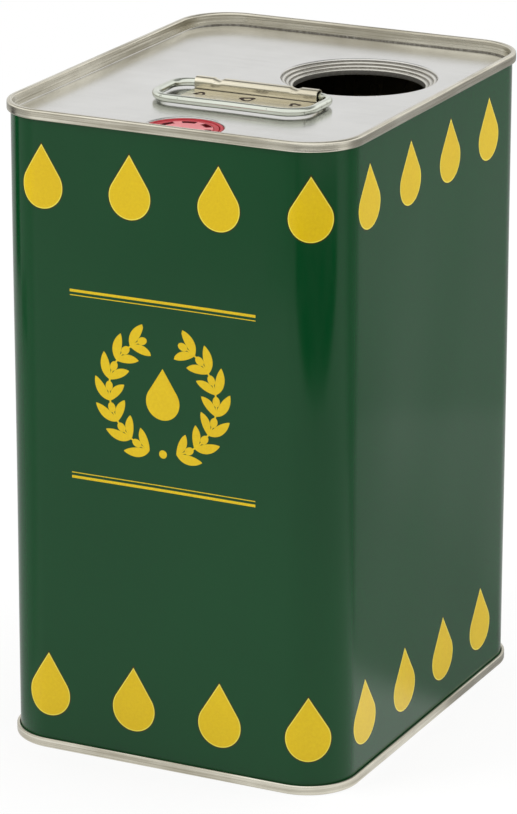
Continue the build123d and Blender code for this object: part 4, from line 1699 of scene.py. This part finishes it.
@dataclass
class PullHandle:
    """One half ring beside the cap's boss, with its ends rounded about the hinge's axis. side is -1 in front."""

    side: int
    name: str
    sizes: SpoutSizes = SPOUT
    gap: float = 0.1
    thickness: float = 0.7
    hinge_half_width: float = 0.25
    edge: float = 0.16
    rows: int = 64
    end_rows: int = 6
    tip: float = 0.02

    def build(self) -> bpy.types.Object:
        """Makes the half ring: a rounded oblong section carried round an arc, and half-round ends.

        At a distance past the hinge's axis an end is thinner by sqrt(1 - (past / half)^2), whose square stays
        over tip.
        """
        z = self.sizes
        inner, outer = z.boss_radius + self.gap, z.cap_radius
        half = self.thickness / 2
        axis_y = self.hinge_half_width + self.gap + half
        level = z.cap_shoulder + self.gap + half
        ring = round_loop([(inner, -half), (outer, -half), (outer, half), (inner, half)], [self.edge] * 4, steps=3)
        dip = np.sin(np.linspace(0.0, TURN / 4, self.end_rows + 1)[:-1])
        past = half * (1.0 - dip)
        thin = np.sqrt(np.maximum(1.0 - (past / half) ** 2, self.tip))
        distance = np.concatenate([axis_y - past, np.full(self.rows, axis_y), axis_y - past[::-1]])
        squeeze = np.concatenate([thin, np.ones(self.rows), thin[::-1]])
        share = np.concatenate([np.zeros(self.end_rows), np.linspace(0.0, 1.0, self.rows), np.ones(self.end_rows)])
        radius = ring[:, 0][None]
        first = np.arcsin(distance[:, None] / radius)
        angle = first + share[:, None] * (TURN / 2 - 2 * first)
        points = turned(z.centre, radius, level + ring[:, 1][None] * squeeze[:, None], self.side * angle)
        return Surface.grid(points, close_columns=True, cap_rows=True).to_object(self.name)


# The studio


def stand(
    name: str, data: bpy.types.ID, axes: Sequence[np.ndarray], place: Sequence[float]
) -> bpy.types.Object:
    """Puts a camera or a lamp in the scene.

    Args:
        name: the object's name.
        data: the camera or the lamp.
        axes: the directions of its own X, Y and Z.
        place: where it stands, in metres.

    Returns:
        The new object, linked to the scene.
    """
    matrix = np.eye(4)
    matrix[:3, :3] = np.stack(axes, axis=-1)
    matrix[:3, 3] = place
    made = bpy.data.objects.new(name, data)
    made.matrix_world = Matrix(matrix.tolist())
    bpy.context.scene.collection.objects.link(made)
    return made


@dataclass
class PhotoCamera:
    """The photograph's camera, found by fitting the tin's outline. Angles in degrees, lengths in mm, clip in m."""

    azimuth: float = 26.0308
    elevation: float = 17.8704
    distance: float = 1353.38
    focal_pixels: float = 4308.56
    pitch: float = 18.1005
    yaw: float = 0.1116
    roll: float = 0.0725
    sensor: float = 36.0
    target_height: float = 102.0
    clip: tuple[float, float] = (0.05, 20.0)

    def build(self) -> bpy.types.Object:
        """Makes the camera. It looks at the middle of the tin from azimuth 0 at -Y, turning towards +X."""
        az, el = math.radians(self.azimuth), math.radians(self.elevation)
        place = np.array([math.sin(az) * math.cos(el), -math.cos(az) * math.cos(el), math.sin(el)]) * self.distance
        place[2] += self.target_height
        turn, pitch, roll = az + math.radians(self.yaw), math.radians(self.pitch), math.radians(self.roll)
        back = np.array([math.sin(turn) * math.cos(pitch), -math.cos(turn) * math.cos(pitch), math.sin(pitch)])
        right = np.array([math.cos(turn), math.sin(turn), 0.0])
        up = np.cross(back, right)
        right, up = (right * math.cos(roll) + up * math.sin(roll), up * math.cos(roll) - right * math.sin(roll))
        data = bpy.data.cameras.new("photo_camera")
        data.sensor_width = self.sensor
        data.lens = self.focal_pixels * self.sensor / max(PHOTO_SIZE)
        data.clip_start, data.clip_end = self.clip
        camera = stand("photo_camera", data, (right, up, back), place * MM)
        bpy.context.scene.camera = camera
        return camera


@dataclass(frozen=True)
class Softbox:
    """One square area lamp, aimed at the tin, which reflections leave out. Places and sizes in metres."""

    name: str
    place: tuple[float, float, float]
    size: float
    power: float
    aim: tuple[float, float, float] = (0.0, 0.0, 0.1)

    def build(self) -> bpy.types.Object:
        """Makes the lamp."""
        data = bpy.data.lights.new(self.name, "AREA")
        data.shape, data.size, data.energy = "SQUARE", self.size, self.power
        away = np.array(self.place) - np.array(self.aim)
        away /= np.linalg.norm(away)
        side = np.cross([0.0, 0.0, 1.0], away)
        side = side / np.linalg.norm(side)
        lamp = stand(self.name, data, (side, np.cross(away, side), away), self.place)
        lamp.visible_glossy = False
        return lamp


@dataclass(frozen=True)
class FloorShade:
    """A dark part of the floor that only reflections see, as under a table or behind a camera stand.

    Bearings are in degrees from -Y towards +X, and distances from the tin's middle in metres. The near edge bows
    away from the tin on both sides of its middle: near + bow * |share of the half width|^3.
    """

    start: float
    end: float
    near: float = 0.0
    far: float = 9.0
    bow: float = 0.0
    soft: float = 5.0
    level: float = 0.05
    near_blur: float = 0.015
    far_blur: float = 0.05

    def light(self, t: Tree, bearing: Value, away: Value) -> Value:
        """How bright the floor stays: level inside the part, 1 outside it."""
        middle, half = (self.start + self.end) / 2, (self.end - self.start) / 2
        off = abs(t.math("WRAP", bearing - middle, 180.0, -180.0)) / half
        side = t.ramp(off, 1.0 - self.soft / half, 1.0 + self.soft / half, 1.0, 0.0)
        reach = away - t.math("POWER", off, 3.0) * self.bow
        inner = t.ramp(reach, self.near - self.near_blur, self.near + self.near_blur)
        outer = t.ramp(away, self.far, self.far + self.far_blur, 1.0, 0.0)
        return 1.0 - side * inner * outer * (1.0 - self.level)


def rays_seen(t: Tree) -> tuple[Value, Value]:
    """Masks of the rays that look at the set from the camera or through glass, and of those in reflections."""
    path = t.node("ShaderNodeLightPath").outputs
    return t.math("MAXIMUM", path["Is Camera Ray"], path["Is Transmission Ray"]), Value(t, path["Is Glossy Ray"])


@dataclass
class Studio:
    """A pale floor, a white surround and soft lamps.

    A band is the pair of values, of a direction's X, Y or Z or of a noise, between which a part of the surround fades.
    """

    floor_colour: Colour = srgb(250, 250, 249)
    floor_clear: float = 0.85
    clear_reach: tuple[float, float] = (0.3, 0.9)
    floor_half: float = 3.0
    world_level: float = 0.5
    overhead_levels: tuple[float, float] = (0.14, 0.45)
    overhead_band: tuple[float, float] = (0.5, 0.62)
    overhead_behind: tuple[float, float] = (0.06, 0.21)
    overhead_patches: float = 6.0
    patch_band: tuple[float, float] = (0.42, 0.64)
    front_level: float = 0.4
    front_band: tuple[float, float] = (-0.2, 0.1)
    front_low_band: tuple[float, float] = (0.02, 0.22)
    panel_level: float = 1.35
    panel_skew: float = 0.6
    panel_band: tuple[float, float] = (0.7, 0.95)
    panel_high_band: tuple[float, float] = (0.14, 0.27)
    shades: tuple[FloorShade, ...] = (
        FloorShade(-1.0, 80.0, near=0.474, far=0.76, bow=0.137),
        FloorShade(-23.0, 5.0, near=0.575, level=0.6),
        FloorShade(-79.0, -63.0, near=0.5, far=0.54, soft=3.0),
        FloorShade(-99.0, -82.0, near=0.555, soft=3.0),
        FloorShade(104.0, 316.0, soft=8.0, level=0.62),
        FloorShade(96.0, 200.0, near=0.34, soft=8.0, level=0.8),
        FloorShade(110.0, 146.0, soft=6.0, level=0.75),
    )
    lamps: tuple[Softbox, ...] = (
        Softbox("key_softbox", (-1.3, -1.1, 1.5), 1.1, 22.0),
        Softbox("top_softbox", (0.2, 0.5, 1.9), 1.4, 20.0),
        Softbox("side_softbox", (1.7, 0.3, 1.1), 1.0, 9.0),
    )

    def floor(self) -> bpy.types.Object:
        """Makes the floor, on which the tin stands. Part of its light is its own: plain white to the camera, so
        that the ground stays pale round the tin's soft shadow, and in reflections darker where it has a shade.
        """
        edge = self.floor_half / MM
        corners = np.array([[-edge, -edge, 0.0], [edge, -edge, 0.0], [edge, edge, 0.0], [-edge, edge, 0.0]])
        piece = Surface(corners, [(0, 1, 2, 3)]).to_object("studio_floor")
        material, t, shader = new_material("studio_floor")
        x, y, _ = t.parts(t.place())
        bearing, away = t.math("ARCTAN2", x, y * -1.0) * (360 / TURN), t.hypot(x, y)
        level, *others = [shade.light(t, bearing, away) for shade in self.shades]
        for light in others:
            level = level * light
        clear, glossy = rays_seen(t)
        dimmed = t.mix(level, BLACK, self.floor_colour)
        t.feed(shader, {"Base Color": t.mix(glossy, self.floor_colour, dimmed), "Roughness": 0.9,
                        "Specular IOR Level": 0.1})
        strength = t.largest(clear, glossy * level)
        white = t.node("ShaderNodeEmission", inputs={"Color": WHITE, "Strength": strength})
        own = t.largest(clear, glossy) * t.ramp(away, *self.clear_reach, self.floor_clear, 1.0)
        both = t.node("ShaderNodeMixShader", inputs={0: own, 1: shader.outputs["BSDF"], 2: white.outputs["Emission"]})
        out = next(n for n in t.tree.nodes if n.type == "OUTPUT_MATERIAL")
        t.feed(out, {"Surface": both.outputs["Shader"]})
        piece.data.materials.append(material)
        return piece

    def world(self) -> None:
        """A white surround to the camera, a plain level of light, and a reflected room.

        In reflections the surround is white, but brighter over the horizon in front and at the sides, with a dark,
        patchy ceiling over and behind the tin, and a dimmer part low down in front, where the camera stands.
        """
        world = bpy.data.worlds.new("studio_world")
        t = empty_tree(world)
        clear, glossy = rays_seen(t)
        way = t.read("ShaderNodeTexCoord", "Generated")
        x, y, z = t.parts(way)
        ceiling = t.ramp(z, *self.overhead_band) * t.ramp(y, *self.overhead_behind)
        overhead = t.ramp(t.noise(way, self.overhead_patches, detail=2.0), *self.patch_band, *self.overhead_levels)
        low_front = t.ramp(z, *self.front_low_band, 1.0, 0.0) * t.ramp(y, *self.front_band, 1.0, 0.0)
        panel = t.ramp(y - x * self.panel_skew, *self.panel_band, 1.0, 0.0)
        panel = panel * t.ramp(z, *self.panel_high_band, 0.0, self.panel_level - 1.0)
        mirrored = (panel + 1.0) * (1.0 - ceiling * (1.0 - overhead)) - low_front * (1.0 - self.front_level)
        plain = 1.0 - t.largest(clear, glossy)
        strength = clear + glossy * mirrored + plain * self.world_level
        back = t.node("ShaderNodeBackground", inputs={"Color": WHITE, "Strength": strength})
        t.node("ShaderNodeOutputWorld", inputs={"Surface": back.outputs["Background"]})
        bpy.context.scene.world = world

    def build(self) -> None:
        """Makes the studio."""
        self.floor()
        self.world()
        for lamp in self.lamps:
            lamp.build()
        bpy.context.scene.view_settings.view_transform = "Standard"


class Slot(Enum):
    """The record's material slots."""

    PRINTED = "printed_tinplate"
    PLAIN = "plain_tinplate"
    BRACKET = "bracket_tinplate"
    WIRE = "galvanised_wire"
    RED = "red_plastic"
    NATURAL = "natural_plastic"
    COMPOUND = "seam_compound"


@dataclass(frozen=True)
class Place:
    """Where a dressed piece goes: its maker, its slot, its body, and the solid whose place it takes."""

    make: Callable[[], bpy.types.Object]
    slot: Slot
    body: str
    node: str


class OilTin:
    """Dresses the whole tin."""

    def __init__(self) -> None:
        """Builds the shared effects and the finishes."""
        effects = Effects()
        self.finishes = {
            Slot.PRINTED: PrintedTinplate().build(effects),
            Slot.PLAIN: BareTinplate().build(effects),
            Slot.BRACKET: BareTinplate("bracket_tinplate", worked=srgb(228, 222, 203),
                                       worked_dark=srgb(182, 175, 153), roughness=0.14).build(effects),
            Slot.WIRE: BrightWire().build(effects),
            # The red plastic's pale colour is the painted sheen on the cap's top, and its deep colour the painted shade
            # in its slots.
            Slot.RED: MouldedPlastic("red_plastic", srgb(156, 16, 32), srgb(202, 128, 130), srgb(92, 3, 12),
                                     roughness=0.45, glow=0.1).build(effects),
            Slot.NATURAL: MouldedPlastic("natural_plastic", srgb(232, 230, 220), srgb(240, 238, 230),
                                         srgb(200, 196, 184), glow=0.3).build(effects),
            Slot.COMPOUND: MouldedPlastic("seam_compound", srgb(150, 138, 116), srgb(160, 148, 126),
                                          srgb(120, 108, 90)).build(effects),
        }

    def places(self) -> list[Place]:
        """Every piece that takes a solid's place on one body."""
        return [
            Place(BodyShell().build, Slot.PRINTED, "tin", "body_shell"),
            Place(Lid().build, Slot.PLAIN, "tin", "top_end"),
            Place(Base().build, Slot.PLAIN, "tin", "bottom_end"),
            Place(HandleBracket().build, Slot.BRACKET, "tin", "handle_bracket"),
            Place(HandleWire().build, Slot.WIRE, "handle", "handle_wire"),
            Place(Collar().build, Slot.RED, "tin", "spout_collar"),
            Place(Nozzle().build, Slot.NATURAL, "spout", "spout_nozzle"),
            Place(Cap().build, Slot.RED, "cap", "spout_cap"),
            Place(PullHandle(-1, "red_pull_front").build, Slot.RED, "front_bail", "pull_bail_front"),
            Place(PullHandle(1, "red_pull_back").build, Slot.RED, "back_bail", "pull_bail_back"),
        ]

    def dress(self, piece: bpy.types.Object, slot: Slot, node: str) -> None:
        """Gives a piece the finish of its slot, and takes the solid's place."""
        piece.data.materials.append(self.finishes[slot])
        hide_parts(node)

    def build(self) -> None:
        """Makes every piece, and finishes the solids that stay."""
        for place in self.places():
            piece = place.make()
            self.dress(piece, place.slot, place.node)
            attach(piece, place.body)
            LOG.info("%s takes the place of %s", piece.name, place.node)
        cone = Cone()
        piece = cone.build()
        self.dress(piece, Slot.NATURAL, "spout_cone")
        top, low = ((0.0, 0.0, z * MM) for z in (cone.sizes.collar_foot, cone.sizes.cone_fold))
        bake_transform(piece)
        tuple(top)
        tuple(low)
        LOG.info("%s bends between the collar and the nozzle", piece.name)
        kept = {"top_seam_compound": Slot.COMPOUND, "bottom_seam_compound": Slot.COMPOUND,
                "nozzle_membrane": Slot.NATURAL, "membrane_ring": Slot.NATURAL}
        for node, slot in kept.items():
            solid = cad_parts[node]
            solid.data.materials.clear()
            solid.data.materials.append(self.finishes[slot])


def main() -> None:
    """Dresses the tin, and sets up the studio."""
    logging.basicConfig(level=logging.INFO, format="%(message)s")
    OilTin().build()
    Studio().build()
    PhotoCamera().build()


if __name__ == "__main__":
    main()
